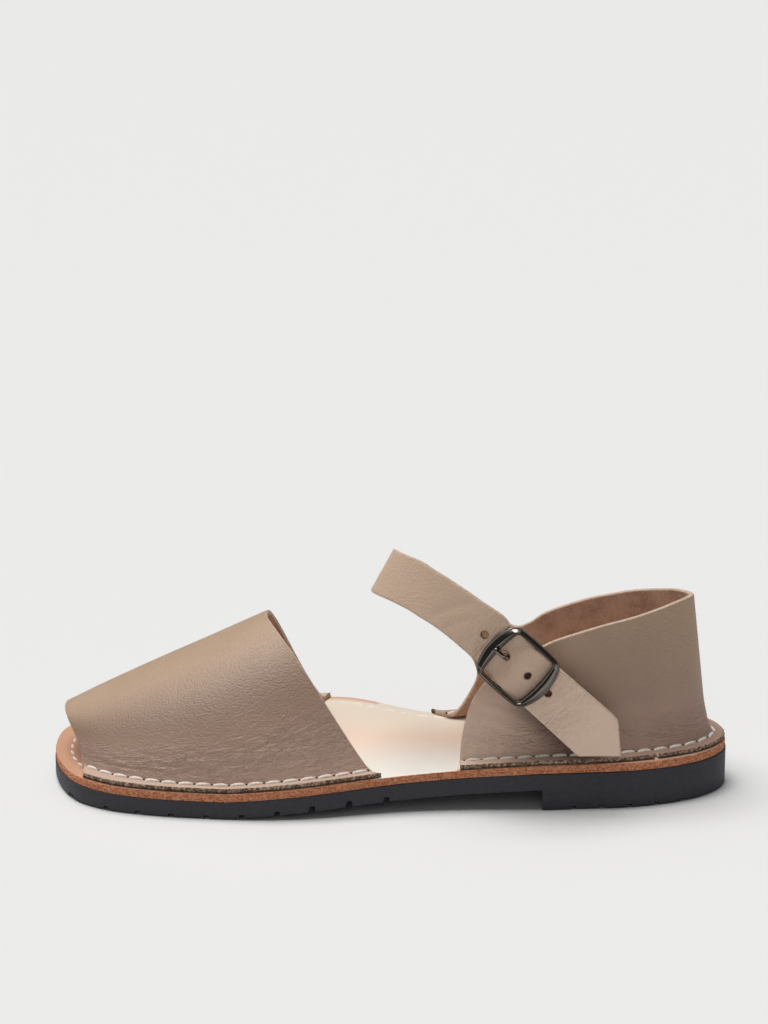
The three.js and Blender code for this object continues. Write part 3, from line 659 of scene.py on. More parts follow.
@dataclass(frozen=True)
class VegTan:
    """The insole: natural leather, cream outside and peach towards the middle, with painted light
    on the near side, painted shade on the far side and under the upper's edges.
    """

    # Cream is the insole's own colour; on the near side its brightness is painted light.
    cream: Colour = srgb(247, 241, 231)
    peach: Colour = srgb(246, 218, 196)
    # Painted shade on the far side.
    far: Colour = srgb(226, 210, 190)
    # The toe's darker tone, also used as painted shade under the upper's edges.
    toe: Colour = srgb(210, 160, 130)
    edge: Colour = srgb(236, 158, 116)
    edge_dark: Colour = srgb(180, 100, 62)
    speck: Colour = srgb(250, 216, 184)

    def make_face(self) -> Material:
        """The smooth top."""
        f = Finishing("natural_leather")
        here = f.place(Source.OBJECT)
        # Peach in the middle, cream towards the edges; the bright near side is painted light.
        colour = f.blend(f.fact("peach"), self.cream, self.peach)
        colour = f.blend(f.noise(9, here).ramp(0.4, 0.75) * 0.15, colour, self.peach)
        # Painted shade on the far side of the insole.
        colour = f.blend(f.fact("far") * 0.8, colour, self.far)
        # The toe's own darker tone, and painted shade along the rim under the upper.
        colour = f.blend(f.fact("toe"), colour, self.toe)
        grain = f.noise(0.5, here, 3.0)
        return f.finish(base_color=colour, roughness=0.5, specular_ior_level=0.4,
                        normal=f.relief(grain, 0.06, 0.5))

    def make_edge(self) -> Material:
        """The fibrous cut edge."""
        f = Finishing("natural_leather_edge")
        fibre = f.noise(0.8, f.place(Source.OBJECT, (1.8, 1.8, 1)), 5.0, 0.8)
        speck = f.noise(0.6, f.place(Source.OBJECT), 4.0, 0.8)
        colour = f.blend(fibre.ramp(0.4, 0.6), self.edge_dark, self.edge)
        colour = f.blend(speck.ramp(0.52, 0.66) * 0.85, colour, self.speck)
        return f.finish(base_color=colour, roughness=0.85, specular_ior_level=0.25,
                        normal=f.relief(fibre + speck * 0.7, 0.7, 1.0))


@dataclass(frozen=True)
class Rubber:
    """The outsole."""

    base: Colour = srgb(53, 51, 57)
    dusty: Colour = srgb(66, 68, 78)

    def make(self) -> Material:
        """The material."""
        f = Finishing("rubber")
        here = f.place(Source.OBJECT)
        dust = f.noise(0.8, here, 4.0, 0.7)
        colour = f.blend(dust.ramp(0.4, 0.75) * 0.6, self.base, self.dusty)
        return f.finish(base_color=colour, roughness=0.6, specular_ior_level=0.4,
                        normal=f.relief(dust + f.noise(3, here) * 0.5, 0.2, 0.8))


@dataclass(frozen=True)
class Gunmetal:
    """The buckle: dark plated metal."""

    base: Colour = srgb(120, 114, 107)

    def make(self) -> Material:
        """The material."""
        f = Finishing("gunmetal")
        here = f.place(Source.OBJECT)
        # Wear on the metal: patches of higher roughness.
        strap_light_and_metal_wear = f.noise(1.6, here, 3.0).ramp(0.4, 0.7)
        return f.finish(base_color=self.base, metallic=1.0, roughness=strap_light_and_metal_wear * 0.06 + 0.17,
                        normal=f.relief(f.noise(0.8, here), 0.02, 0.5))


@dataclass(frozen=True)
class Thread:
    """Thick waxed thread, off-white."""

    base: Colour = srgb(250, 243, 234)
    grey: Colour = srgb(226, 212, 198)
    # Painted shade: the dark inside of an awl hole.
    hole: Colour = srgb(58, 44, 36)

    def make(self) -> Material:
        """The thread."""
        f = Finishing("thread")
        twist = f.noise(0.6, f.place(Source.OBJECT), 3.0)
        colour = f.blend(twist.ramp(0.3, 0.6), self.grey, self.base)
        return f.finish(base_color=colour, roughness=0.75, normal=f.relief(twist, 0.15, 0.8))

    def make_hole_shadow(self) -> Material:
        """The painted shade in the mouth of an awl hole."""
        return Finishing("awl_hole").finish(base_color=self.hole, roughness=0.95)


@dataclass
class Wardrobe:
    """Every finish, made once."""

    leather: Material = field(default_factory=Leather().make)
    flesh: Material = field(default_factory=Suede().make)
    cut: Material = field(default_factory=CutEdge().make)
    insole: Material = field(default_factory=VegTan().make_face)
    insole_edge: Material = field(default_factory=VegTan().make_edge)
    rubber: Material = field(default_factory=Rubber().make)
    metal: Material = field(default_factory=Gunmetal().make)
    thread: Material = field(default_factory=Thread().make)
    # Painted shade of the awl holes.
    hole: Material = field(default_factory=Thread().make_hole_shadow)


def dress(obj: Piece, materials: Iterable[Material],
          nodes: Sequence[str] = ()) -> None:
    """Gives a piece its materials and body, and hides the nodes that it stands for."""
    for material in materials:
        obj.data.materials.append(material)
    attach(obj, "root")
    if nodes:
        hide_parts(*nodes)
    log.info("%s: %d faces", obj.name, len(obj.data.polygons))


# ---------------------------------------------------------------- soles


@dataclass
class SoleSheet:
    """A sheet with the sole's outline and rounded rims, lofted from toe to heel."""

    name: str
    low: Callable[[Array, Array], Array]
    high: Callable[[Array, Array], Array]
    inset: float = 0.0
    low_round: float = 1.0
    high_round: float = 0.5
    stations: int = 131
    strips: int = 24
    steps: int = 4

    def _stations(self, inset: float) -> Array:
        """Distances from the toe, close together at both ends and split at the breast."""
        breast = LAST.breast
        t = np.linspace(0, 1, self.stations)
        fore = mix(inset, breast - 0.01, 1 - np.cos(t * np.pi / 2))
        hind = mix(breast + 0.01, LAST.length - inset, np.sin(t[::2] * np.pi / 2))
        return np.concatenate([fore, hind])

    def _rims(self) -> list[tuple[float, float, float]]:
        """Rows up the side: inset, height over the low face, height under the high face."""
        turns = np.linspace(0, np.pi / 2, self.steps)
        low = [(self.inset + self.low_round * (1 - math.sin(a)),
                self.low_round * (1 - math.cos(a)), math.nan) for a in turns]
        high = [(self.inset + self.high_round * (1 - math.cos(a)), math.nan,
                 self.high_round * (1 - math.sin(a))) for a in turns]
        return low + high

    def build(self) -> Piece:
        """The closed sheet, with its edge kept as an attribute."""
        columns, edge = [], []
        for side in (-1, 1):
            rims = self._rims() if side < 0 else self._rims()[::-1]
            for inset, over, under in rims:
                s = self._stations(inset)
                y = LAST.outline(s, side, inset)
                z = self.low(s, y) + over if math.isnan(under) else self.high(s, y) - under
                columns.append(LAST.metres(s, y, z))
                edge.append(np.ones(len(s)))
            face, inset = ((self.high, self.inset + self.high_round) if side < 0
                           else (self.low, self.inset + self.low_round))
            s = self._stations(inset)
            for share in np.linspace(0, 1, self.strips + 1)[1:-1]:
                start, end = LAST.outline(s, side, inset), LAST.outline(s, -side, inset)
                y = mix(start, end, share)
                columns.append(LAST.metres(s, y, face(s, y)))
                edge.append(np.zeros(len(s)))
        columns.append(columns[0])
        edge.append(edge[0])
        points = np.stack(columns, axis=1)
        return shaped_grid(self.name, points, {"edge": np.stack(edge, axis=1)})


@dataclass
class Outsole:
    """Black rubber with a heel block, and grooves between its lugs."""

    seat: float = 0.13
    groove_width: float = 2.4
    groove_depth: float = 1.4
    groove_sway: float = 1.1
    groove_waves: float = 36.0
    groove_reach: float = 1.2
    groove_roof: float = 0.72
    groove_mouth: float = 1.25
    forefoot: tuple[float, ...] = (9.7, 22.6, 35.4, 48.3, 61.2, 74.1, 87.0, 99.9, 112.8, 125.7)
    heel: tuple[float, ...] = (193.6, 204.2, 214.8, 225.4, 236.0)

    def _under(self, s: Array, y: Array) -> Array:
        """The tread's height: the shank in front of the breast, the floor behind it."""
        return np.where(s > LAST.breast, 0.0, LAST.sheet(s, y, 0))

    def _groove(self, s: float) -> Piece:
        """A cutter across the sole: a bar with slanted sides that sways a little."""
        deselect()
        bpy.ops.mesh.primitive_grid_add(x_subdivisions=1, y_subdivisions=44, size=1)
        bar = bpy.context.object
        floor = float(self._under(np.array(s), np.array(0.0)))
        bpy.ops.object.mode_set(mode="EDIT")
        bpy.ops.mesh.extrude_region_move(TRANSFORM_OT_translate={"value": (0, 0, 1)})
        bpy.ops.object.mode_set(mode="OBJECT")
        for vertex in bar.data.vertices:
            x, y, top = vertex.co
            width = self.groove_width * (self.groove_roof if top > 0.5 else self.groove_mouth)
            sway = self.groove_sway * math.asin(math.sin(y * self.groove_waves)) / (math.pi / 2)
            level = floor + (self.groove_depth if top > 0.5 else -self.groove_depth)
            reach = self.groove_reach * LAST.ball_width
            vertex.co = LAST.metres(s + sway + x * width, y * reach, level)
        return settle(bar)

    def build(self) -> Piece:
        """The rubber, cut by its grooves."""
        top = LAST.rubber + self.seat
        body = SoleSheet("outsole_rubber", self._under, lambda s, y: LAST.sheet(s, y, top),
                         low_round=0.9, high_round=0.35).build()
        cutters = joined("tread_cutter", [self._groove(s) for s in self.forefoot + self.heel])
        cut = body.modifiers.new("tread", "BOOLEAN")
        cut.operation, cut.object, cut.solver = "DIFFERENCE", cutters, "EXACT"
        apply_all(body)
        bpy.data.objects.remove(cutters)
        return settle(body, angle=35.0, outward=False)


@dataclass
class Insole:
    """Natural leather over the whole sole.

    The pairs say where a colour begins or has its middle, and how far it reaches: the peach
    band and the far side's painted shade as shares across the sole, the toe in millimetres.
    """

    seat: float = 0.13
    inset: float = 0.3
    band: Pair = (0.6, 0.26)
    # Painted shade on the far side.
    far: Pair = (0.5, 0.35)
    toe: Pair = (42.0, -22.0)

    def build(self) -> Piece:
        """The insole, its edge in a slot of its own."""
        low = LAST.rubber + LAST.clearance - self.seat
        high = LAST.insole_top + self.seat
        obj = SoleSheet("insole_leather", lambda s, y: LAST.sheet(s, y, low),
                        lambda s, y: LAST.sheet(s, y, high), self.inset,
                        low_round=0.25).build()
        mesh = obj.data
        edge = np.array([value.value for value in mesh.attributes["edge"].data])
        co = np.array([v.co for v in mesh.vertices]) / MM
        s, y = co[:, 0] + LAST.heel_seat, co[:, 1]
        outer, inner = LAST.outline(s, -1), LAST.outline(s, 1)
        across = (y - outer) / np.maximum(inner - outer, 1)
        # Painted shade: the rim under the upper's flanges takes the darker toe colour.
        covered_rim = edge * ((s < LAST.bare_from) | (s > LAST.bare_to))
        keep_facts(mesh, {"peach": hill(across, *self.band),
                          "toe": np.maximum(rise_over(s, *self.toe), covered_rim),
                          "far": rise_over(across, *self.far)})
        for face in mesh.polygons:
            face.material_index = int(all(edge[v] > 0.5 for v in face.vertices)
                                      and abs(face.normal.z) < 0.8)
        return obj


# ---------------------------------------------------------------- leather sheets


@dataclass(frozen=True)
class Crease:
    """A soft trough or ridge on the grain side, along a line on the flat leather."""

    line: Sequence[Pair]
    depth: float
    width: float

    def relief(self, flat: Array) -> Array:
        """How far it moves each point out; troughs are negative."""
        nearest = np.full(len(flat), np.inf)
        for a, b in zip(self.line, self.line[1:]):
            a, b = np.array(a), np.array(b)
            t = np.clip((flat - a) @ (b - a) / ((b - a) @ (b - a)), 0, 1)
            nearest = np.minimum(nearest, np.linalg.norm(flat - (a + t[:, None] * (b - a)), axis=1))
        return -self.depth * np.exp(-((nearest / self.width) ** 2))


def crease_rows(*rows: tuple) -> tuple[Crease, ...]:
    """Creases from rows of depth, width and the places that each one runs through."""
    return tuple(Crease(places, depth, width) for depth, width, *places in rows)


@dataclass
class LeatherSheet:
    """A cut of leather: its flesh side in place, thickened and given rounded edges."""

    name: str
    points: Array
    faces: Array
    flat: Array
    creases: Sequence[Crease]
    facts: dict[str, Array]
    edge_round: float = 0.3
    edge_rows: tuple[float, ...] = (0.14, 0.38, 0.62, 0.86)
    fray: float = 0.3
    seed: int = 5

    def _normals(self) -> Array:
        """Normals of the flesh side's points, towards the grain side."""
        normals = np.zeros_like(self.points)
        corners = self.points[self.faces]
        face = np.cross(corners[:, 1] - corners[:, 0], corners[:, 2] - corners[:, 0])
        for k in range(self.faces.shape[1]):
            np.add.at(normals, self.faces[:, k], face)
        return unit(normals)

    def _rim(self) -> Array:
        """The edges that only one face has, in that face's direction."""
        turns = np.concatenate([np.stack([self.faces[:, k], np.roll(self.faces, -1, 1)[:, k]], 1)
                                for k in range(self.faces.shape[1])])
        known = {tuple(pair) for pair in turns.tolist()}
        return np.array([pair for pair in turns.tolist() if (pair[1], pair[0]) not in known])

    def build(self) -> Piece:
        """The closed sheet: slot 0 grain, 1 flesh, 2 cut edge."""
        normals, rim = self._normals(), self._rim()
        grain = self.points + normals * UPPER.thickness
        relief = sum((crease.relief(self.flat) for crease in self.creases),
                     np.zeros(len(self.points)))
        grain = grain + normals * relief[:, None]
        flesh = self.points + normals * 0.5 * relief[:, None]
        outward = np.zeros_like(self.points)
        along = unit(self.points[rim[:, 1]] - self.points[rim[:, 0]])
        for k in (0, 1):
            np.add.at(outward, rim[:, k], np.cross(along, normals[rim[:, k]]))
        outward = unit(outward)
        rim_points = np.unique(rim)
        number = np.zeros(len(self.points), int)
        number[rim_points] = np.arange(len(rim_points))
        chance = np.random.default_rng(self.seed)
        fray = self.fray * self.facts["flange"][rim_points, None] * outward[rim_points]
        rows = [mix(flesh, grain, t)[rim_points]
                + fray * chance.uniform(-1, 0.6, (len(rim_points), 1)) for t in self.edge_rows]
        pulled = -self.edge_round * outward
        count = len(self.points)
        points = np.concatenate([flesh + pulled, grain + pulled, *rows])
        starts = [2 * count + k * len(rim_points) for k in range(len(rows))]
        rings = [rim, *(number[rim] + start for start in starts), rim + count]
        faces = [*self.faces[:, ::-1], *(self.faces + count)]
        slots = [1] * len(self.faces) + [0] * len(self.faces)
        for below, over in zip(rings, rings[1:]):
            quads = np.stack([below[:, 0], below[:, 1], over[:, 1], over[:, 0]], axis=1)
            faces.extend(quads)
            slots.extend([2] * len(quads))
        spread = np.concatenate([np.arange(count), np.arange(count), *[rim_points] * len(rows)])
        facts = {key: value[spread] for key, value in self.facts.items()}
        # Low: 1 on the flesh side, 0 on the grain side; the cut edge's painted shadow follows it.
        facts["low"] = np.concatenate([np.ones(count), np.zeros(count),
                                       *(np.full(len(rim_points), 1 - t) for t in self.edge_rows)])
        return raw_mesh(self.name, points * MM, faces, np.array(slots), facts,
                        self.flat[spread] * MM)


@dataclass
class Vamp:
    """The arched band over the toes."""

    wall_inset: float = 7.5
    toe_crest: float = 25.0
    throat_crest: float = 60.0
    flare: float = 1.5
    columns: int = 140
    flange_rows: int = 5
    fold_rows: int = 7
    arch_rows: int = 72
    pattern_length: float = 112.0
    wrinkled: Pair = (15.0, 8.5)
    # Painted shade in the vamp's middle.
    shaded: Pair = (36.0, 14.0)
    # Painted light along the vamp's foot.
    painted_light: Pair = (0.0, 13.0)
    flange_reach: float = 0.6
    front: dict[str, float] = field(default_factory=lambda: dict(
        outer_flange=0.056, outer=0.054, crest=0.019, inner=0.05, inner_flange=0.054))
    back: dict[str, float] = field(default_factory=lambda: dict(
        outer_flange=0.493, outer=0.48, crest=0.3205, inner=0.4, inner_flange=0.408))
    crest: Rows = field(default_factory=lambda: table(
        "along height inward arch sweep outer_ease inner_ease",
        (0, 0, 0.03, 2.05, 3, 1, 1), (0.35, 0.34, 0.045, 2.15, 1.7, 1, 1),
        (0.7, 0.68, 0.053, 2.25, 1.05, 0.82, 1.1), (1, 1, 0.057, 2.3, 0.8, 0.62, 1.15)))
    creases: tuple[Crease, ...] = crease_rows(
        (0.26, 0.8, (9, 14), (13, 12.6), (19, 13.2)),
        (0.26, 0.8, (14, 18), (19, 16.6), (26, 17.4)),
        (0.24, 0.8, (22, 12.4), (28, 13.2), (33, 12)),
        (0.2, 0.8, (27, 21), (33, 20), (39, 21)),
        (0.26, 0.8, (32, 16), (38, 15), (45, 16.4)),
        (0.24, 0.8, (41, 12.6), (47, 13.6), (54, 12.4)),
        (0.24, 0.8, (47, 18.2), (53, 19), (60, 17.8)),
        (0.24, 0.8, (57, 14.4), (63, 15.2), (69, 14)),
        (0.22, 0.8, (66, 18.6), (72, 20), (79, 19)),
        (0.24, 0.8, (74, 13.4), (80, 14.6), (87, 13.6)),
        (0.22, 0.8, (84, 17.4), (90, 18.6), (97, 17.6)),
        (0.24, 0.8, (24, 115), (31, 113.6), (38, 114.4)),
        (0.24, 0.8, (50, 111), (58, 112.4), (66, 111.6)))

    def _edge(self, u: Array, key: str) -> Array:
        """Where a share of the way from front to back passes a flange, foot or the crest."""
        return LAST.length * mix(self.front[key], self.back[key], u)

    def point(self, u: Array, side: int, flange: float = 0.0, rise: float = 0.0,
              arch: float | None = None) -> Array:
        """A point of the flesh side.

        Args:
            u: share of the way from the front edge to the back edge.
            side: -1 for the outer side, 1 for the inner.
            flange: share of the way out along the flange.
            rise: share of the fold's radius over the seat.
            arch: share of the way from the fold to the crest, or None.

        Returns:
            s, y and z in the last axis.
        """
        outer_foot, inner_foot = self._edge(u, "outer"), self._edge(u, "inner")
        foot = outer_foot if side < 0 else inner_foot
        base = LAST.outline(foot, side, self.wall_inset)
        if rise == 0 and arch is None:
            tip = self._edge(u, "outer_flange" if side < 0 else "inner_flange")
            s = mix(foot, tip, flange)
            y = mix(base + side * (UPPER.fold_radius + self.flare),
                    LAST.outline(s, side, UPPER.flange_margin), flange)
            return np.stack([s, y, LAST.flange_seat(s, y)], axis=-1)
        crest = {key: through(self.crest, "along", key)(u) for key in self.crest[0]}
        middle = (LAST.outline(outer_foot, -1, self.wall_inset)
                  + LAST.outline(inner_foot, 1, self.wall_inset)) / 2
        middle = middle + LAST.ball_width * crest["inward"]
        seat = LAST.flange_seat(foot, base)
        height = mix(self.toe_crest, self.throat_crest, crest["height"]) - seat
        power = crest["arch"]
        low = rise if arch is None else 1.0
        angle = np.arcsin(np.clip((low * UPPER.fold_radius / height) ** (power / 2), 0, 0.9))
        if arch is not None:
            angle = mix(angle, np.pi / 2, arch)
        share = np.sin(angle) ** (2 / power)
        inward = 1 - np.abs(np.cos(angle)) ** (2 / power)
        y = mix(base, middle, inward) + side * UPPER.fold_out(height * share, self.flare)
        ease = crest["outer_ease" if side < 0 else "inner_ease"]
        left = np.clip(1 - share ** crest["sweep"], 0, 1)
        s = mix(foot, self._edge(u, "crest"), 1 - left**ease)
        return np.stack([s, y, seat + height * share], axis=-1)

    def _rows(self) -> list[dict[str, float]]:
        """One side's rows from the flange's edge to the crest."""
        flange = [{"flange": v} for v in np.linspace(1, 0, self.flange_rows)]
        fold = [{"rise": v} for v in np.linspace(0, 1, self.fold_rows)[1:] ** 2]
        arch = [{"arch": v} for v in np.linspace(0, 1, self.arch_rows)[1:]]
        return flange + fold + arch

    def build(self) -> Piece:
        """The vamp."""
        u = np.linspace(0, 1, self.columns + 1)
        rows = self._rows()
        grid = [self.point(u, -1, **row) for row in rows]
        grid += [self.point(u, 1, **row) for row in rows[-2::-1]]
        grid = np.stack(grid)
        steps = np.linalg.norm(np.diff(grid, axis=0), axis=-1).mean(axis=1)
        up = running(steps)
        flat = np.stack(np.broadcast_arrays(u[None, :] * self.pattern_length, up[:, None]), axis=-1)
        count, width = grid.shape[:2]
        number = np.arange(count * width).reshape(count, width)
        faces = np.stack([number[:-1, :-1], number[:-1, 1:], number[1:, 1:], number[1:, :-1]],
                         axis=-1).reshape(-1, 4)
        points = grid.reshape(-1, 3) - [LAST.heel_seat, 0, 0]
        low = np.minimum(up, up[-1] - up)[:, None]
        facts = {"wrinkle": hill(low, *self.wrinkled) + 0.03,
                 "strap_wrinkle": 0 * low,
                 # Painted light: gold rising towards the crest.
                 "gold": low / low.max(),
                 # Painted shade in the vamp's middle.
                 "shade": hill(low, *self.shaded) * 0.5,
                 # Painted light along the vamp's foot.
                 "painted_light": hill(low, *self.painted_light) * 0.42,
                 "flange": np.where(low < self.flange_reach, 1.0, 0.0)}
        facts = {key: (value * np.ones((1, width))).ravel() for key, value in facts.items()}
        return LeatherSheet("vamp_leather", points, faces, flat.reshape(-1, 2), self.creases,
                            facts).build()

    def stitch_line(self, side: int) -> Array:
        """Grain-side points of the stitch row along one flange, front to back."""
        line = self.point(np.linspace(0.015, 0.985, 400), side, rise=0.03)
        return line + np.array([0, 0, UPPER.thickness])


@dataclass
class AnkleLoop:
    """Where the quarter and its strap run, seen from above."""

    wall_inset: float = 9.0
    outer: tuple[float, ...] = (0.595, 0.655, 0.714, 0.774, 0.833, 0.881, 0.921, 0.944, 0.9585)
    inner: tuple[float, ...] = (0.9585, 0.944, 0.921, 0.881, 0.833, 0.786)
    instep: Pairs = (
        (0.722, 0.217), (0.655, 0.203), (0.597, 0.178), (0.548, 0.128), (0.513, 0.055),
        (0.499, -0.016), (0.511, -0.1), (0.552, -0.196), (0.611, -0.273), (0.647, -0.311),
        (0.683, -0.328), (0.73, -0.333), (0.786, -0.329), (0.857, -0.318))
    samples: int = 800

    def __post_init__(self) -> None:
        """Runs a centripetal spline through the stops and measures it."""
        wall = [(share * LAST.length, side) for side, shares in ((-1, self.outer), (1, self.inner))
                for share in shares]
        stops = [(s, float(LAST.outline(np.array(s), side, self.wall_inset))) for s, side in wall]
        back = (LAST.length - self.wall_inset, LAST.ball_width * LAST.sections[-1]["middle"])
        stops.insert(len(self.outer), back)
        stops += [(a * LAST.length, b * LAST.ball_width) for a, b in self.instep]
        self.stops = np.array(stops)
        t = np.linspace(0, 1, self.samples + 1)
        self.points = np.array([self._spline(v) for v in t])
        self.places = running(np.linalg.norm(np.diff(self.points, axis=0), axis=1))
        self.length = float(self.places[-1])
        at = np.rint(np.arange(len(stops)) * self.samples / (len(stops) - 1)).astype(int)
        self.stop_places = self.places[at]
        self.first_instep = len(stops) - len(self.instep)

    def _spline(self, t: float) -> Array:
        """A point of the centripetal spline at a share of its stops."""
        stops, last = self.stops, len(self.stops) - 1
        i = min(int(t * last), last - 1)
        w = t * last - i
        p1, p2 = stops[i], stops[i + 1]
        p0 = stops[i - 1] if i > 0 else 2 * p1 - p2
        p3 = stops[i + 2] if i + 2 <= last else 2 * p2 - p1
        d0, d1, d2 = (np.linalg.norm(b - a) ** 0.5 for a, b in ((p0, p1), (p1, p2), (p2, p3)))
        m1 = ((p1 - p0) / d0 - (p2 - p0) / (d0 + d1) + (p2 - p1) / d1) * d1
        m2 = ((p2 - p1) / d1 - (p3 - p1) / (d1 + d2) + (p3 - p2) / d2) * d1
        return (p1 + m1 * w + (-3 * p1 + 3 * p2 - 2 * m1 - m2) * w**2
                + (2 * p1 - 2 * p2 + m1 + m2) * w**3)

    def at(self, place: Array) -> tuple[Array, Array]:
        """Point and direction at places along the loop."""
        def point(where: Array) -> Array:
            """The point at each place."""
            where = np.clip(where, 0, self.length)
            return np.stack([np.interp(where, self.places, self.points[:, k]) for k in (0, 1)], -1)
        step = 0.002 * self.length
        return point(place), unit(point(place + step) - point(place - step))


@dataclass
class Quarter:
    """The quarter and its ankle strap, cut in one from a flat pattern and wrapped.

    The pattern's lines are shares of the loop's length and the collar's height, and those of
    the strap's end are strap widths from the buckle. The pairs for wrinkles, painted light and
    painted shade are a middle and a reach in millimetres, along the pattern, along the strap or
    upwards.
    """

    loop: AnkleLoop = field(default_factory=AnkleLoop)
    strap_drop: float = 0.74
    buckle_along: float = 0.8749
    buckle_height: float = 0.751
    strap_width: float = 18.8
    strap_bump: float = 1.6
    bump_reach: float = 4.494
    hole_diameter: float = 2.6
    hole_pitch: float = 10.4
    prong_hole: float = -6.1
    tail_start: float = 9.0
    tail_lift: float = 2.8
    tail_reach: float = 2.713
    strap_from: int = 6
    strap_look_from: int = 3
    notch: Pair = (0.8, 2.6)
    flare: float = 2.4
    seat_fade: float = 25.0
    pitch: float = 0.95
    edge_gap: float = 0.55
    lean: tuple[tuple[int, float, float], ...] = (
        (0, 0.03, 0.27), (3, 0.05, 0.27), (9, 0.115, 0.27), (13, 0.06, 0.27), (16, 0.02, 0.3),
        (17, -0.03, 0.3), (18, 0.02, 0.5), (19, 0.32, 0.92), (21, 0.53, 1.12), (23, 0.36, 1.08),
        (24, 0.2, 0.97), (26, 0.07, 0.78), (28, 0, 0.48), (29, 0, 0.34))
    outer_front: Pairs = (
        (0.0077, 0.24), (0.0091, 0.34), (0.0133, 0.44), (0.0195, 0.53), (0.0269, 0.588),
        (0.0354, 0.635), (0.0512, 0.662), (0.0659, 0.688), (0.0882, 0.77), (0.0956, 0.822))
    collar: Pairs = (
        (0.1148, 0.858), (0.1594, 0.912), (0.198, 0.942), (0.2298, 0.968), (0.2597, 0.99),
        (0.297, 0.995), (0.344, 0.975), (0.3728, 0.95), (0.4058, 0.92), (0.4316, 0.89),
        (0.4583, 0.86), (0.5009, 0.795), (0.5215, 0.735), (0.5392, 0.72), (0.5663, 0.81),
        (0.6018, 0.945), (0.6342, 1.055), (0.6767, 1.155), (0.7049, 1.219), (0.75, 1.217),
        (0.7795, 1.178), (0.8025, 1.135), (0.832, 1.069))
    strap_lower: Pairs = (
        (0.8307, 0.766), (0.8173, 0.817), (0.7893, 0.905), (0.7686, 0.953), (0.7485, 0.987),
        (0.7248, 1.007), (0.699, 0.995), (0.6723, 0.945), (0.6342, 0.845), (0.6048, 0.7))
    strap_upper: Pairs = (
        (-0.905, 0.522), (-0.64, 0.5), (0, 0.5), (2.0, 0.53))
    tail_corners: Pairs = (
        (2.16, 0.51), (2.69, 0.03), (2.095, -0.532), (2.0, -0.543))
    strap_under: Pairs = ((0, -0.5), (-0.64, -0.484))
    inner_front: Pairs = (
        (0.5812, 0.53), (0.5782, 0.45), (0.5915, 0.33), (0.6048, 0.25))
    inner_flange_end: float = 0.6195
    foot_wrinkles: Pair = (6.0, 7.0)
    tail_wrinkles: Pair = (24.0, 9.0)
    buckle_wrinkles: Pair = (-16.0, 8.0)
    # Painted light on the tail and on the quarter's front.
    tail_painted_light: Pair = (6.0, 16.0)
    front_painted_light: Pairs = ((0.0, 36.0), (4.0, 24.0))
    # Painted shade in the middle of the wall, and the reach of the tail's painted shadow.
    wall_shade: Pairs = ((66.0, 34.0), (34.0, 26.0))
    tail_shade_reach: float = 7.5
    tail_half: float = 14.0
    # Painted light on the strap, rising towards the tail.
    strap_light_and_metal_wear: Pair = (0.42, 0.95)
    # Height over which the painted light turns from mauve to gold.
    gold_reach: float = 60.0
    row_ends: Pair = (1.5, 3.5)
    notches: tuple[float, ...] = (0.215, 0.3911)
    creases: tuple[Crease, ...] = crease_rows(
        (0.3, 1.2, (8, 31), (14, 30), (20, 27.5), (27, 26)),
        (0.26, 1.2, (10, 36), (17, 34.5), (23, 31), (29, 29.5)),
        (0.24, 1.0, (7, 26.5), (13, 25.5), (19, 23.5), (28, 22.5)),
        (0.22, 1.1, (15, 39.5), (22, 37), (28, 33.5)),
        (-0.14, 1.0, (12, 28), (18, 25.5), (25, 24.5)),
        (0.26, 1.1, (60, 27), (67, 26), (74, 23.5), (80, 22.5)),
        (0.2, 1.1, (62, 31), (70, 29.5), (77, 27)),
        (0.2, 0.9, (64, 24), (71, 22.5), (78, 21)),
        (0.22, 1.1, (95, 25), (103, 23.5), (112, 24.5)),
        (0.22, 1.1, (130, 24), (140, 26), (152, 25)),
        (0.24, 1.2, (160, 30), (170, 27), (181, 26)))
    strap_creases: tuple[Crease, ...] = crease_rows(
        (0.3, 1.5, (-34, -9), (-32, -3), (-29, 3)),
        (0.24, 1.2, (-28, -9), (-26.5, -4), (-23, 1)),
        (0.26, 1.0, (-13, -8.5), (-15.5, -4), (-17, 1)),
        (0.2, 0.9, (-12.5, -5.5), (-14, -2), (-14.5, 2)),
        (0.22, 1.0, (-16, -9), (-19, -5), (-21, -1)),
        (0.26, 1.2, (18, -9), (20.5, -3.5), (22, 2)),
        (0.3, 1.2, (22, -9), (24, -3), (27, 4)),
        (0.28, 1.2, (26, -8), (29, -2), (31, 6)),
        (0.24, 1.2, (31, -8), (33, -3), (36, 3)),
        (0.18, 1.0, (20, 1), (22.5, 5), (24, 8.5)))

    def __post_init__(self) -> None:
        """Finds the buckle's place on the pattern and the wall's lean along the loop."""
        rows = [dict(place=self.loop.stop_places[stop], slope=slope, level=level)
                for stop, slope, level in self.lean]
        self.slope = through(rows, "place", "slope")
        self.level = through(rows, "place", "level")
        self.centre = np.array([self.buckle_along * self.loop.length,
                                self.buckle_height * UPPER.collar_height])
        self.along = np.array([math.cos(self.strap_drop), -math.sin(self.strap_drop)])
        self.across = np.array([-self.along[1], self.along[0]])
        self.flange_low = LAST.seat_level - (self.loop.wall_inset - UPPER.flange_margin
                                             - UPPER.fold_radius - self.flare)

    def on_strap(self, along: float, across: float) -> Array:
        """A place on the pattern, told from the buckle's centre in millimetres."""
        return self.centre + self.along * along + self.across * across

    def from_buckle(self, flat: Array) -> tuple[Array, Array]:
        """How far along and across the strap places on the pattern lie from the buckle."""
        from_centre = flat - self.centre
        return from_centre @ self.along, from_centre @ self.across

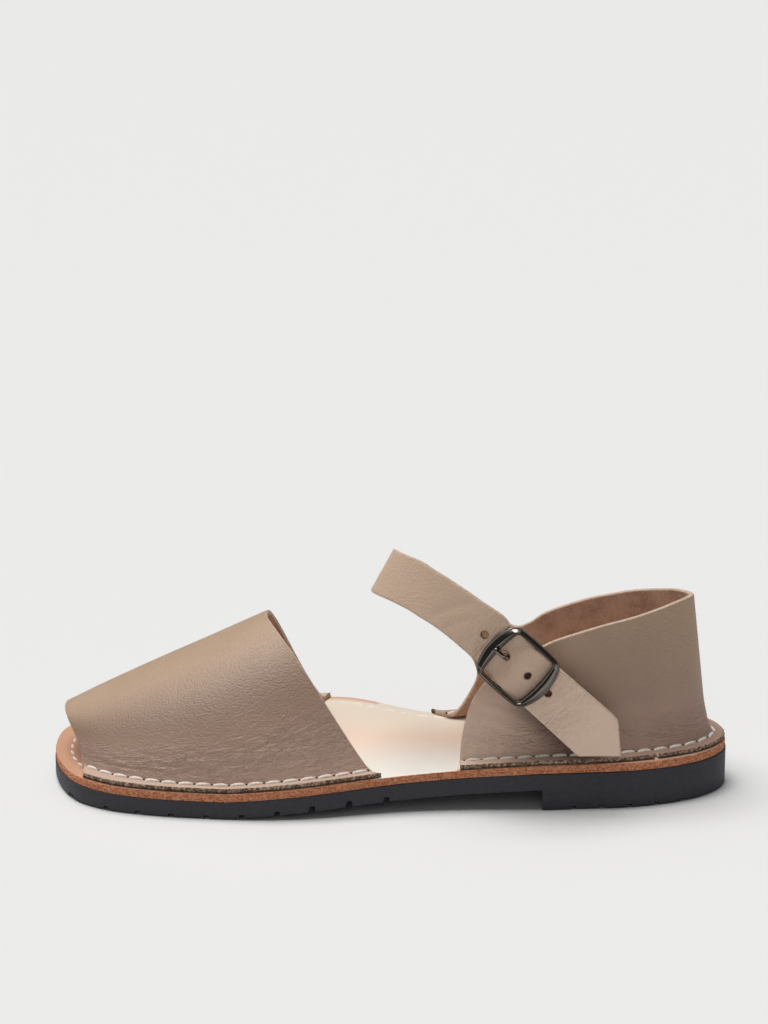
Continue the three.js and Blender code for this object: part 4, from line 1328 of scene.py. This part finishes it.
    def surface(self, flat: Array) -> Array:
        """The flesh side of places on the pattern, as s, y and z."""
        place, height = flat[..., 0], flat[..., 1]
        point, direction = self.loop.at(place)
        seat = LAST.seat_level
        inward = self.slope(place) * (np.maximum(height, seat)
                                      - self.level(place) * UPPER.collar_height)
        on_strap = place > self.loop.stop_places[self.loop.first_instep + self.strap_from]
        out = -inward + np.where(on_strap, 0, UPPER.fold_out(height - seat, self.flare))
        along, across = self.from_buckle(flat)
        over_bar = on_strap & (np.abs(across) < self.strap_width)
        out = out + over_bar * self.strap_bump * np.exp(-((along / self.bump_reach) ** 2))
        reach = self.tail_reach * self.strap_width - self.tail_start
        tail = rise_over(along, self.tail_start, reach)
        out = out + on_strap * self.tail_lift * tail**1.6
        s = point[..., 0] + direction[..., 1] * out
        y = point[..., 1] - direction[..., 0] * out
        fade = np.clip(1 - (height - seat - UPPER.fold_radius) / self.seat_fade, 0, 1)
        settle_down = (LAST.flange_seat(s, y) - seat) * fade
        return np.stack([s, y, np.maximum(height, seat) + settle_down], axis=-1)

    def _placed(self, rows: Sequence[Pair]) -> list[Array]:
        """Rows of shares as millimetres on the pattern."""
        return [np.array([a * self.loop.length, h * UPPER.collar_height]) for a, h in rows]

    @staticmethod
    def _spline(points: Sequence[Array]) -> list[Array]:
        """A smooth line through points, without its first one."""
        points = np.array(points)
        line = []
        for i in range(len(points) - 1):
            p0, p1 = points[max(i - 1, 0)], points[i]
            p2, p3 = points[i + 1], points[min(i + 2, len(points) - 1)]
            v1, v2 = (p2 - p0) / 2, (p3 - p1) / 2
            for t in np.linspace(0, 1, 13)[1:]:
                line.append((2 * p1 - 2 * p2 + v1 + v2) * t**3
                            + (-3 * p1 + 3 * p2 - 2 * v1 - v2) * t**2 + v1 * t + p1)
        return line

    def outline(self) -> Array:
        """The pattern's outline, as a closed line of places."""
        def strap(*shares: Pair) -> list[Array]:
            """Places told from the buckle's centre in strap widths."""
            return [self.on_strap(a * self.strap_width, b * self.strap_width) for a, b in shares]

        front = self._placed(self.outer_front)
        line = [np.array([front[0][0], self.flange_low]), front[0], *self._spline(front)]
        line += self._spline([front[-1], *self._placed(self.collar), *strap(*self.strap_upper)])
        line += strap(*self.tail_corners)
        inner = self._placed(self.inner_front)
        line += self._spline([line[-1], *strap(*self.strap_under),
                              *self._placed(self.strap_lower), inner[0]])
        line += self._spline(inner)
        line.append(np.array([self.inner_flange_end * self.loop.length, self.flange_low]))
        half, deep = self.notch
        for along in sorted(self.notches, reverse=True):
            x = along * self.loop.length
            line += [np.array([x + across, self.flange_low + up])
                     for across, up in ((half, 0), (0, deep), (-half, 0))]
        return np.array(line)

    def _evened(self, line: Array) -> Array:
        """The same closed line with points a pitch apart and its corners kept."""
        out = []
        for a, b in zip(line, np.roll(line, -1, axis=0)):
            count = max(int(math.ceil(np.linalg.norm(b - a) / (0.8 * self.pitch))), 1)
            out += [mix(a, b, k / count) for k in range(count)]
        kept = [out[0]]
        for point in out[1:]:
            if np.linalg.norm(point - kept[-1]) > 0.3 * self.pitch:
                kept.append(point)
        if np.linalg.norm(kept[-1] - kept[0]) < 0.3 * self.pitch:
            kept.pop()
        return np.array(kept)

    def holes(self) -> list[Array]:
        """The strap's holes; the prong draws its own one long."""
        turn = np.linspace(0, 2 * np.pi, 16, endpoint=False)
        radius = self.hole_diameter / 2
        found = []
        for k in range(-1, 3):
            stretch = 0.9 if k == 0 else 0.0
            middle = self.prong_hole + k * self.hole_pitch
            found.append(np.array([self.on_strap(middle + (radius + stretch) * math.cos(a),
                                                 radius * math.sin(a)) for a in turn]))
        return found

    def _cut(self) -> tuple[Array, Array]:
        """The cut leather's points and triangles, on the flat."""
        outline, holes = self._evened(self.outline()), self.holes()

        def on_leather(places: Array) -> Array:
            """Whether each place is inside the outline and in none of the holes."""
            return within(places, outline) & ~np.any([within(places, h) for h in holes], axis=0)

        low, high = outline.min(axis=0), outline.max(axis=0)
        rows = np.arange(low[1], high[1], self.pitch * math.sqrt(3) / 2)
        inside = np.array([(x + (k % 2) * self.pitch / 2, y) for k, y in enumerate(rows)
                           for x in np.arange(low[0], high[0], self.pitch)])
        keep = on_leather(inside)
        rings = [outline, *holes]
        edges, start = [], 0
        for ring in rings:
            keep &= distance_to(inside, ring) > self.edge_gap * self.pitch
            edges += [(start + k, start + (k + 1) % len(ring)) for k in range(len(ring))]
            start += len(ring)
        points = np.concatenate([*rings, inside[keep]])
        made = delaunay_2d_cdt([Vector(p) for p in points], edges, [], 1, 1e-6)
        flat, faces = np.array([tuple(v) for v in made[0]]), np.array(made[2])
        return flat, faces[on_leather(flat[faces].mean(axis=1))]

    def build(self) -> Piece:
        """The quarter and strap."""
        flat, faces = self._cut()
        points = self.surface(flat) - [LAST.heel_seat, 0, 0]
        low = flat[:, 1] - LAST.seat_level
        along, across = self.from_buckle(flat)
        place = flat[:, 0]
        first = self.loop.first_instep + self.strap_look_from
        on_strap = place > self.loop.stop_places[first]
        foot = hill(low, *self.foot_wrinkles) * ~on_strap
        tail = ((hill(along, *self.tail_wrinkles) + 0.9 * hill(along, *self.buckle_wrinkles))
                * on_strap * (np.abs(across) < self.tail_half))
        # Painted light on the quarter's front and painted shade in the middle of its wall.
        front, wall = (hill(place, *forward) * hill(low, *upward)
                       for forward, upward in (self.front_painted_light, self.wall_shade))
        # Painted light: paler on the strap, more so along the tail, and on the quarter's front.
        painted_light = mix(*self.strap_light_and_metal_wear, rise_over(along, *self.tail_painted_light)) * on_strap + front * 0.8
        # Painted shade in the middle of the quarter's wall.
        shade = wall * ~on_strap * 0.28
        # Painted shadow of the tail's lower edge on the quarter's outer wall.
        tail_shadow = hill(distance_to(flat, self.beside_tail), 0, self.tail_shade_reach)
        shade = np.maximum(shade, ~on_strap * tail_shadow)
        # Painted shade in the strap's holes: their edges take the flange's dark edge colour and its
        # painted shadow.
        in_hole = np.min([distance_to(flat, hole) for hole in self.holes()], axis=0) < 0.1
        flange = ((low < self.flange_low + 0.5 - LAST.seat_level) & ~on_strap) | in_hole
        return LeatherSheet("quarter_leather", points, faces, flat, self.all_creases(), {
            "wrinkle": np.clip(0.05 + foot * 0.85, 0, 1), "strap_wrinkle": np.clip(tail, 0, 1),
            # Painted light: gold rising with the height.
            "gold": np.clip(low / self.gold_reach, 0, 1),
            "painted_light": painted_light, "shade": shade, "flange": flange.astype(float)}).build()

    @property
    def beside_tail(self) -> Array:
        """The line on the outer wall along which the tail's painted shadow is darkest."""
        return np.column_stack([np.linspace(29, 49, 30), np.linspace(38, 16, 30)])

    def all_creases(self) -> list[Crease]:
        """The creases of the wall, and those of the strap set on the pattern."""
        placed = [replace(crease, line=[self.on_strap(*point) for point in crease.line])
                  for crease in self.strap_creases]
        return [*self.creases, *placed]

    def stitch_line(self) -> Array:
        """Grain-side points of the stitch row round the heel, outer front to inner front."""
        place = np.linspace(self.outer_front[0][0] * self.loop.length + self.row_ends[0],
                            self.inner_flange_end * self.loop.length - self.row_ends[1], 1500)
        flat = np.stack([place, np.full_like(place, LAST.seat_level + 0.09)], axis=-1)
        return self.surface(flat) + np.array([0, 0, UPPER.thickness])


def within(points: Array, ring: Array) -> Array:
    """Whether each point lies inside a closed line."""
    inside = np.zeros(len(points), bool)
    for a, b in zip(ring, np.roll(ring, -1, axis=0)):
        crosses = (a[1] > points[:, 1]) != (b[1] > points[:, 1])
        rise = b[1] - a[1] if b[1] != a[1] else 1.0
        x = a[0] + (points[:, 1] - a[1]) / rise * (b[0] - a[0])
        inside ^= crosses & (points[:, 0] < x)
    return inside


def distance_to(points: Array, ring: Array) -> Array:
    """Each point's distance to the nearest point of a closed line."""
    nearest = np.full(len(points), np.inf)
    for part in np.array_split(ring, max(len(ring) // 100, 1)):
        gaps = np.linalg.norm(points[:, None] - part[None], axis=2).min(axis=1)
        nearest = np.minimum(nearest, gaps)
    return nearest


# ---------------------------------------------------------------- stitches


@dataclass
class Stitching:
    """Rows of thick slanted stitches with an awl hole at each end, dark with painted shade."""

    name: str
    line: Array
    pitch: float = 6.4
    thread: float = 1.45
    reach: float = 0.47
    dip: float = 0.55
    hole_length: float = 0.42
    hole_radius: float = 0.45
    hole_sink: float = 0.2
    slant: float = 0.1
    lift: float = 0.1
    pierced: bool = True

    def _one(self, kind: str) -> Piece:
        """A stitch or a hole at the origin, along x."""
        deselect()
        bpy.ops.mesh.primitive_uv_sphere_add(segments=10, ring_count=7, radius=1)
        obj = bpy.context.object
        length, wide = ((self.reach * self.pitch, self.thread / 2) if kind == "stitch"
                        else (self.hole_length, self.hole_radius))
        for vertex in obj.data.vertices:
            z, x, y = vertex.co
            if kind == "stitch":
                plump = (1 - x**4) ** 0.5 / max((1 - x * x) ** 0.5, 0.05)
                y, z = y * plump, z * plump - self.dip * x**4
            else:
                z = z - self.hole_sink
            vertex.co = (x * length * MM, y * wide * MM, z * wide * MM)
        return settle(obj)

    def build(self) -> list[Piece]:
        """The row's thread, and its holes."""
        run = running(np.linalg.norm(np.diff(self.line, axis=0), axis=1))
        count = max(int(round(run[-1] / self.pitch)), 1)

        def spot(at: float) -> Array:
            """The point of the row so far along it."""
            return np.array([np.interp(at, run, self.line[:, j]) for j in range(3)])

        pieces = []
        for kind in ("stitch", "hole") if self.pierced else ("stitch",):
            model = self._one(kind)
            shift = 0.5 if kind == "stitch" else 0.0
            total = count if kind == "stitch" else count + 1
            parts = []
            for k in range(total):
                at = (k + shift) * run[-1] / count
                here, forward = spot(at), Vector(unit(spot(at + 0.5) - spot(at - 0.5)))
                side = Vector((0, 0, 1)).cross(forward).normalized()
                up = forward.cross(side)
                turned = (forward + side * self.slant).normalized()
                basis = Matrix((turned, up.cross(turned), up)).transposed().to_4x4()
                centre = Vector(LAST.metres(here[0], here[1], here[2] + self.lift))
                part = model.copy()
                part.data = model.data.copy()
                part.matrix_world = Matrix.Translation(centre) @ basis
                link(part)
                parts.append(part)
            bpy.data.objects.remove(model)
            pieces.append(joined(f"{self.name}_{kind}es" if kind == "stitch"
                                 else f"{self.name}_awl_holes", parts))
        return pieces

    def dress(self, finishes: Wardrobe) -> None:
        """Builds and finishes the row."""
        thread, *holes = self.build()
        dress(thread, [finishes.thread])
        for piece in holes:
            dress(piece, [finishes.hole])


def on_insole(s: Array, side: int, inset: float) -> Array:
    """Points on the insole's top at an inset from the sole's edge."""
    y = LAST.outline(s, side, inset)
    return np.stack([s, y, LAST.sheet(s, y, LAST.insole_top + Insole.seat)], axis=-1)


def waist_line(start: float, end: float, side: int, inset: float = 5.6) -> Array:
    """The stitch row on the bare insole between two places of one side."""
    return on_insole(np.linspace(start, end, 400), side, inset)


def toe_line(outer_end: float, inner_end: float, inset: float = 6.7) -> Array:
    """The stitch row on the insole round the toe."""
    ease = 1 - np.cos(np.linspace(0, np.pi / 2, 300))
    outer, inner = (on_insole(mix(inset, end, ease), side, inset)
                    for end, side in ((outer_end, -1), (inner_end, 1)))
    return np.concatenate([outer[::-1], inner[1:]])


# ---------------------------------------------------------------- buckle


@dataclass
class Buckle:
    """The frame with bowed, bevelled end bars, its prong and the leather tab."""

    quarter: Quarter
    length: float = 21.4
    width: float = 23.0
    thickness: float = 2.0
    end_bar: float = 2.2
    side_bar: float = 1.9
    bow: float = 3.3
    side_bow: float = 0.5
    corner: float = 2.4
    window: tuple[float, float, float] = (1.1, 0.9, 0.3)
    side_points: int = 40
    tube_sides: int = 14
    bar_radius: float = 0.9
    bar_bend: float = 2.2
    bar_end: float = 0.6
    prong: float = 1.7
    prong_tip: float = 0.92
    eye_gap: float = 0.68
    eye_radius: float = 0.38
    tab_thickness: float = 1.3
    ring_gap: float = 1.5
    bar_gap: float = 1.7

    def __post_init__(self) -> None:
        """Finds the buckle's own frame: x along the strap, y across it, z out."""
        q, step = self.quarter, 2.0
        near = {key: q.surface(q.on_strap(*key)) for key in
                ((0, 0), (step, 0), (-step, 0), (0, step), (0, -step))}
        forward = unit(near[step, 0] - near[-step, 0])
        up = unit(near[0, step] - near[0, -step])
        out = unit(np.cross(forward, up))
        self.axes = np.stack([forward, np.cross(out, forward), out])
        self.origin = near[0, 0] - out * q.strap_bump - [LAST.heel_seat, 0, 0]
        self.ring_low = UPPER.thickness + self.ring_gap * LAST.clearance
        tab_outer = self.bar_radius + LAST.clearance + self.tab_thickness
        self.bar_level = q.strap_bump - tab_outer - self.bar_gap * LAST.clearance

    def world(self, points: Array) -> Array:
        """Points of the buckle's frame in metres of the row frame."""
        return (points @ self.axes + self.origin) * MM

    def _corner_line(self, length: float, width: float, corner: float, bow: float,
                     side_bow: float) -> Array:
        """A closed line: a rectangle with rounded corners and bowed sides."""
        count = self.side_points
        x, y = length / 2, width / 2
        line = []
        for turn, (right, up) in enumerate(((1, 1), (-1, 1), (-1, -1), (1, -1))):
            angles = np.linspace(0, np.pi / 2, count // 4, endpoint=False) + turn * np.pi / 2
            cx, cy = (x - corner) * right, (y - corner) * up
            line += [(cx + corner * math.cos(a), cy + corner * math.sin(a)) for a in angles]
            for t in np.linspace(1, -1, count, endpoint=False):
                line.append((cx * t, y * up) if turn % 2 == 0 else (x * right, cy * t))
        line = np.array(line)
        tx, ty = np.clip(line[:, 0] / x, -1, 1), np.clip(line[:, 1] / y, -1, 1)
        line[:, 0] += np.sign(line[:, 0]) * bow * (1 - ty**2) * np.abs(tx) ** 3
        line[:, 1] += np.sign(line[:, 1]) * side_bow * (1 - tx**2) * np.abs(ty) ** 3
        return line

    def frame(self) -> Piece:
        """The ring: an inner lip, a shallow groove and an outer slope."""
        outer = self._corner_line(self.length, self.width, self.corner, self.bow, self.side_bow)
        inner = self._corner_line(self.length - 2 * self.end_bar, self.width - 2 * self.side_bar,
                                  *self.window)
        low, high = self.ring_low, self.ring_low + self.thickness
        profile = ((0.0, low + 0.25), (0.0, high - 0.6), (0.03, high - 0.42),
                   (0.07, high - 0.36), (0.11, high - 0.45), (0.15, high - 0.75),
                   (0.2, high - 0.75), (0.36, high - 0.08), (0.41, high), (0.48, high - 0.12),
                   (0.82, low + 0.45), (0.88, low + 0.45), (0.92, low + 0.62),
                   (0.96, low + 0.62), (1.0, low + 0.4), (0.98, low + 0.1), (0.9, low),
                   (0.12, low), (0.0, low + 0.25))
        points = np.stack([np.column_stack([mix(inner, outer, share), np.full(len(inner), z)])
                           for share, z in profile])
        points = np.concatenate([points, points[:, :1]], axis=1)
        return shaped_grid("buckle_ring", self.world(points))

    def _tube(self, name: str, path: Array, radius: Array) -> Piece:
        """A round bar along a path in the plane y = 0 of the buckle, or across it."""
        ahead = unit(np.gradient(path, axis=0))
        side = np.array([0, 1, 0]) if abs(ahead[0][1]) < 0.5 else np.array([1, 0, 0])
        up = np.cross(side, ahead)
        turns = np.linspace(0, 2 * np.pi, self.tube_sides + 1)
        ring = (side * np.cos(turns)[:, None, None]
                + up[None] * np.sin(turns)[:, None, None]) * radius[None, :, None]
        points = path[None] + ring
        return shaped_grid(name, self.world(points))

    def centre_bar(self) -> Piece:
        """The bar under the strap that carries prong and tab."""
        half = (self.width - self.side_bar) / 2
        y = np.linspace(-half, half, 15)
        ease = rise_over(np.abs(y), half - self.bar_bend, self.bar_bend) ** 2
        level = mix(self.bar_level, self.ring_low + self.bar_end, ease)
        path = np.column_stack([np.zeros_like(y), y, level])
        return self._tube("buckle_bar", path, np.full(len(y), self.bar_radius))

    def pin(self) -> Piece:
        """The prong: up through the strap's hole and over the end bar."""
        end = -self.length / 2 + self.end_bar / 2 - 0.3
        hole = self.quarter.prong_hole
        rest = self.ring_low + self.thickness + LAST.clearance / 2 + self.prong / 2
        stops = np.array([(-1.6, 0, self.bar_level), (hole + 1.7, 0, self.bar_level),
                          (hole, 0, 0.6), (hole - 0.4, 0, rest - 1.6),
                          (hole - 1.3, 0, rest - 0.1), (end + 0.6, 0, rest + 0.1),
                          (end - 0.6, 0, rest - 0.05), (end - 1.3, 0, rest - 0.7)])
        t = np.linspace(0, len(stops) - 1, 60)
        rows = [dict(at=float(k), x=p[0], z=p[2]) for k, p in enumerate(stops)]
        x, z = through(rows, "at", "x")(t), through(rows, "at", "z")(t)
        path = np.column_stack([x, np.zeros_like(x), z])
        radius = mix(self.prong / 2, self.prong_tip, np.clip(t / t[-1] - 0.35, 0, 1))
        tip = np.clip((len(t) - 1 - np.arange(len(t))) / 6, 0, 1)
        radius *= np.sqrt(1 - (1 - tip) ** 2) * 0.999 + 0.001
        return self._tube("prong_pin", path, radius)

    def eye(self) -> Piece:
        """The prong's loop round the bar."""
        deselect()
        bpy.ops.mesh.primitive_torus_add(major_segments=28, minor_segments=12,
                                         major_radius=self.bar_radius + self.eye_gap,
                                         minor_radius=self.eye_radius)
        ring = bpy.context.object
        co = np.array([v.co for v in ring.data.vertices])
        turned = np.stack([co[:, 0], co[:, 2] * 2.0, co[:, 1] + self.bar_level], axis=1)
        ring.data.vertices.foreach_set("co", self.world(turned).ravel())
        return settle(ring)

    def dress(self, finishes: Wardrobe) -> None:
        """Builds and finishes the metal, and gives the tab its leather."""
        for name, parts, node in (
                ("buckle_metal", (self.frame, self.centre_bar), "buckle_frame"),
                ("prong_metal", (self.pin, self.eye), "buckle_prong")):
            dress(joined(name, [part() for part in parts]), [finishes.metal], [node])
        tab = bpy.data.objects[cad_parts["buckle_tab"].name]
        tab.data.materials.clear()
        tab.data.materials.append(finishes.flesh)


# ---------------------------------------------------------------- studio


@dataclass
class Studio:
    """Floor, soft lights and the photograph's viewpoint."""

    centre: tuple[float, float, float] = (-0.092, 0.0, 0.030)
    elevation: float = 20.0
    azimuth: float = 1.25166
    distance: float = 1.24659
    yaw: float = 0.08548
    pitch: float = 3.23737
    focal_pixels: float = 3326.29
    image_height: float = 1024.0
    sensor: float = 36.0
    floor_size: float = 24.0
    floor_colour: Colour = srgb(233, 233, 232)
    surround: float = 0.07
    lights: tuple[tuple[str, tuple[float, float, float], float, float, bool], ...] = (
        ("key", (0.25, -0.14, -1), 2.44, 40, True),
        ("ceiling", (0.15, -0.3, -1), 0.57, 75, True),
        ("fill", (0.1, 0.9, -0.4), 0.3, 60, False))

    def camera(self) -> None:
        """The camera, by its orbit round the sandal and a small turn of its own."""
        a, e = math.radians(self.azimuth), math.radians(self.elevation)
        orbit = Vector((math.sin(a) * math.cos(e), -math.cos(a) * math.cos(e), math.sin(e)))
        back, right = orbit, Vector((math.cos(a), math.sin(a), 0))
        up = back.cross(right)
        turn = Matrix.Rotation(math.radians(self.yaw), 3, up)
        right, back = turn @ right, turn @ back
        tilt = Matrix.Rotation(math.radians(self.pitch), 3, right)
        up, back = tilt @ up, tilt @ back
        data = bpy.data.cameras.new("view")
        data.lens = self.focal_pixels * self.sensor / self.image_height
        data.sensor_width = self.sensor
        data.clip_end = 50
        camera = bpy.data.objects.new("view", data)
        spot = Vector(self.centre) + orbit * self.distance
        camera.matrix_world = (Matrix.Translation(spot)
                               @ Matrix((right, up, back)).transposed().to_4x4())
        link(camera)
        bpy.context.scene.camera = camera

    def floor(self) -> None:
        """A wide matt floor."""
        deselect()
        bpy.ops.mesh.primitive_plane_add(size=self.floor_size)
        plane = bpy.context.object
        plane.name = "studio_floor"
        plane.data.materials.append(
            Finishing("floor").finish(base_color=self.floor_colour, roughness=0.9,
                                      specular_ior_level=0.1))

    @staticmethod
    def light(name: str, toward: Sequence[float], strength: float, spread: float,
              glossy: bool) -> None:
        """A soft far light.

        Args:
            name: its name.
            toward: the direction that it shines in.
            strength: its irradiance.
            spread: the angle that it fills in the sky, in degrees.
            glossy: whether it is mirrored in what shines.
        """
        data = bpy.data.lights.new(name, "SUN")
        data.energy, data.angle = strength, math.radians(spread)
        lamp = bpy.data.objects.new(name, data)
        lamp.visible_glossy = glossy
        lamp.rotation_euler = Vector(toward).to_track_quat("-Z", "Y").to_euler()
        link(lamp)

    def build(self) -> None:
        """Camera, floor, lights and a pale surround."""
        self.camera()
        self.floor()
        for lamp in self.lights:
            self.light(*lamp)
        world = bpy.data.worlds.new("surround")
        world.use_nodes = True
        sky = world.node_tree.nodes["Background"]
        sky.inputs["Color"].default_value = (1, 1, 1, 1)
        sky.inputs["Strength"].default_value = self.surround
        bpy.context.scene.world = world
        bpy.context.scene.view_settings.view_transform = "Standard"


def main() -> None:
    """Builds the studio and the sandal."""
    logging.basicConfig(level=logging.INFO, format="%(message)s")
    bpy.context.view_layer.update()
    Studio().build()
    finishes = Wardrobe()
    vamp, quarter = Vamp(), Quarter()
    sheet = [finishes.leather, finishes.flesh, finishes.cut]
    for piece, slot, materials, node in (
            (Outsole(), "rubber", [finishes.rubber], "outsole"),
            (Insole(), "insole", [finishes.insole, finishes.insole_edge], "insole"),
            (vamp, "upper", sheet, "vamp"), (quarter, "upper", sheet, "quarter")):
        dress(piece.build(), materials, [node])
    Buckle(quarter).dress(finishes)
    for name, line in (("vamp_outer", vamp.stitch_line(-1)), ("vamp_inner", vamp.stitch_line(1)),
                       ("quarter", quarter.stitch_line())):
        Stitching(name, line).dress(finishes)
    for name, line in (("toe", toe_line(13.5, 12.5)), ("waist", waist_line(104, 148, 1))):
        Stitching(name, line, lift=-0.45, pierced=False).dress(finishes)


if __name__ == "__main__":
    main()
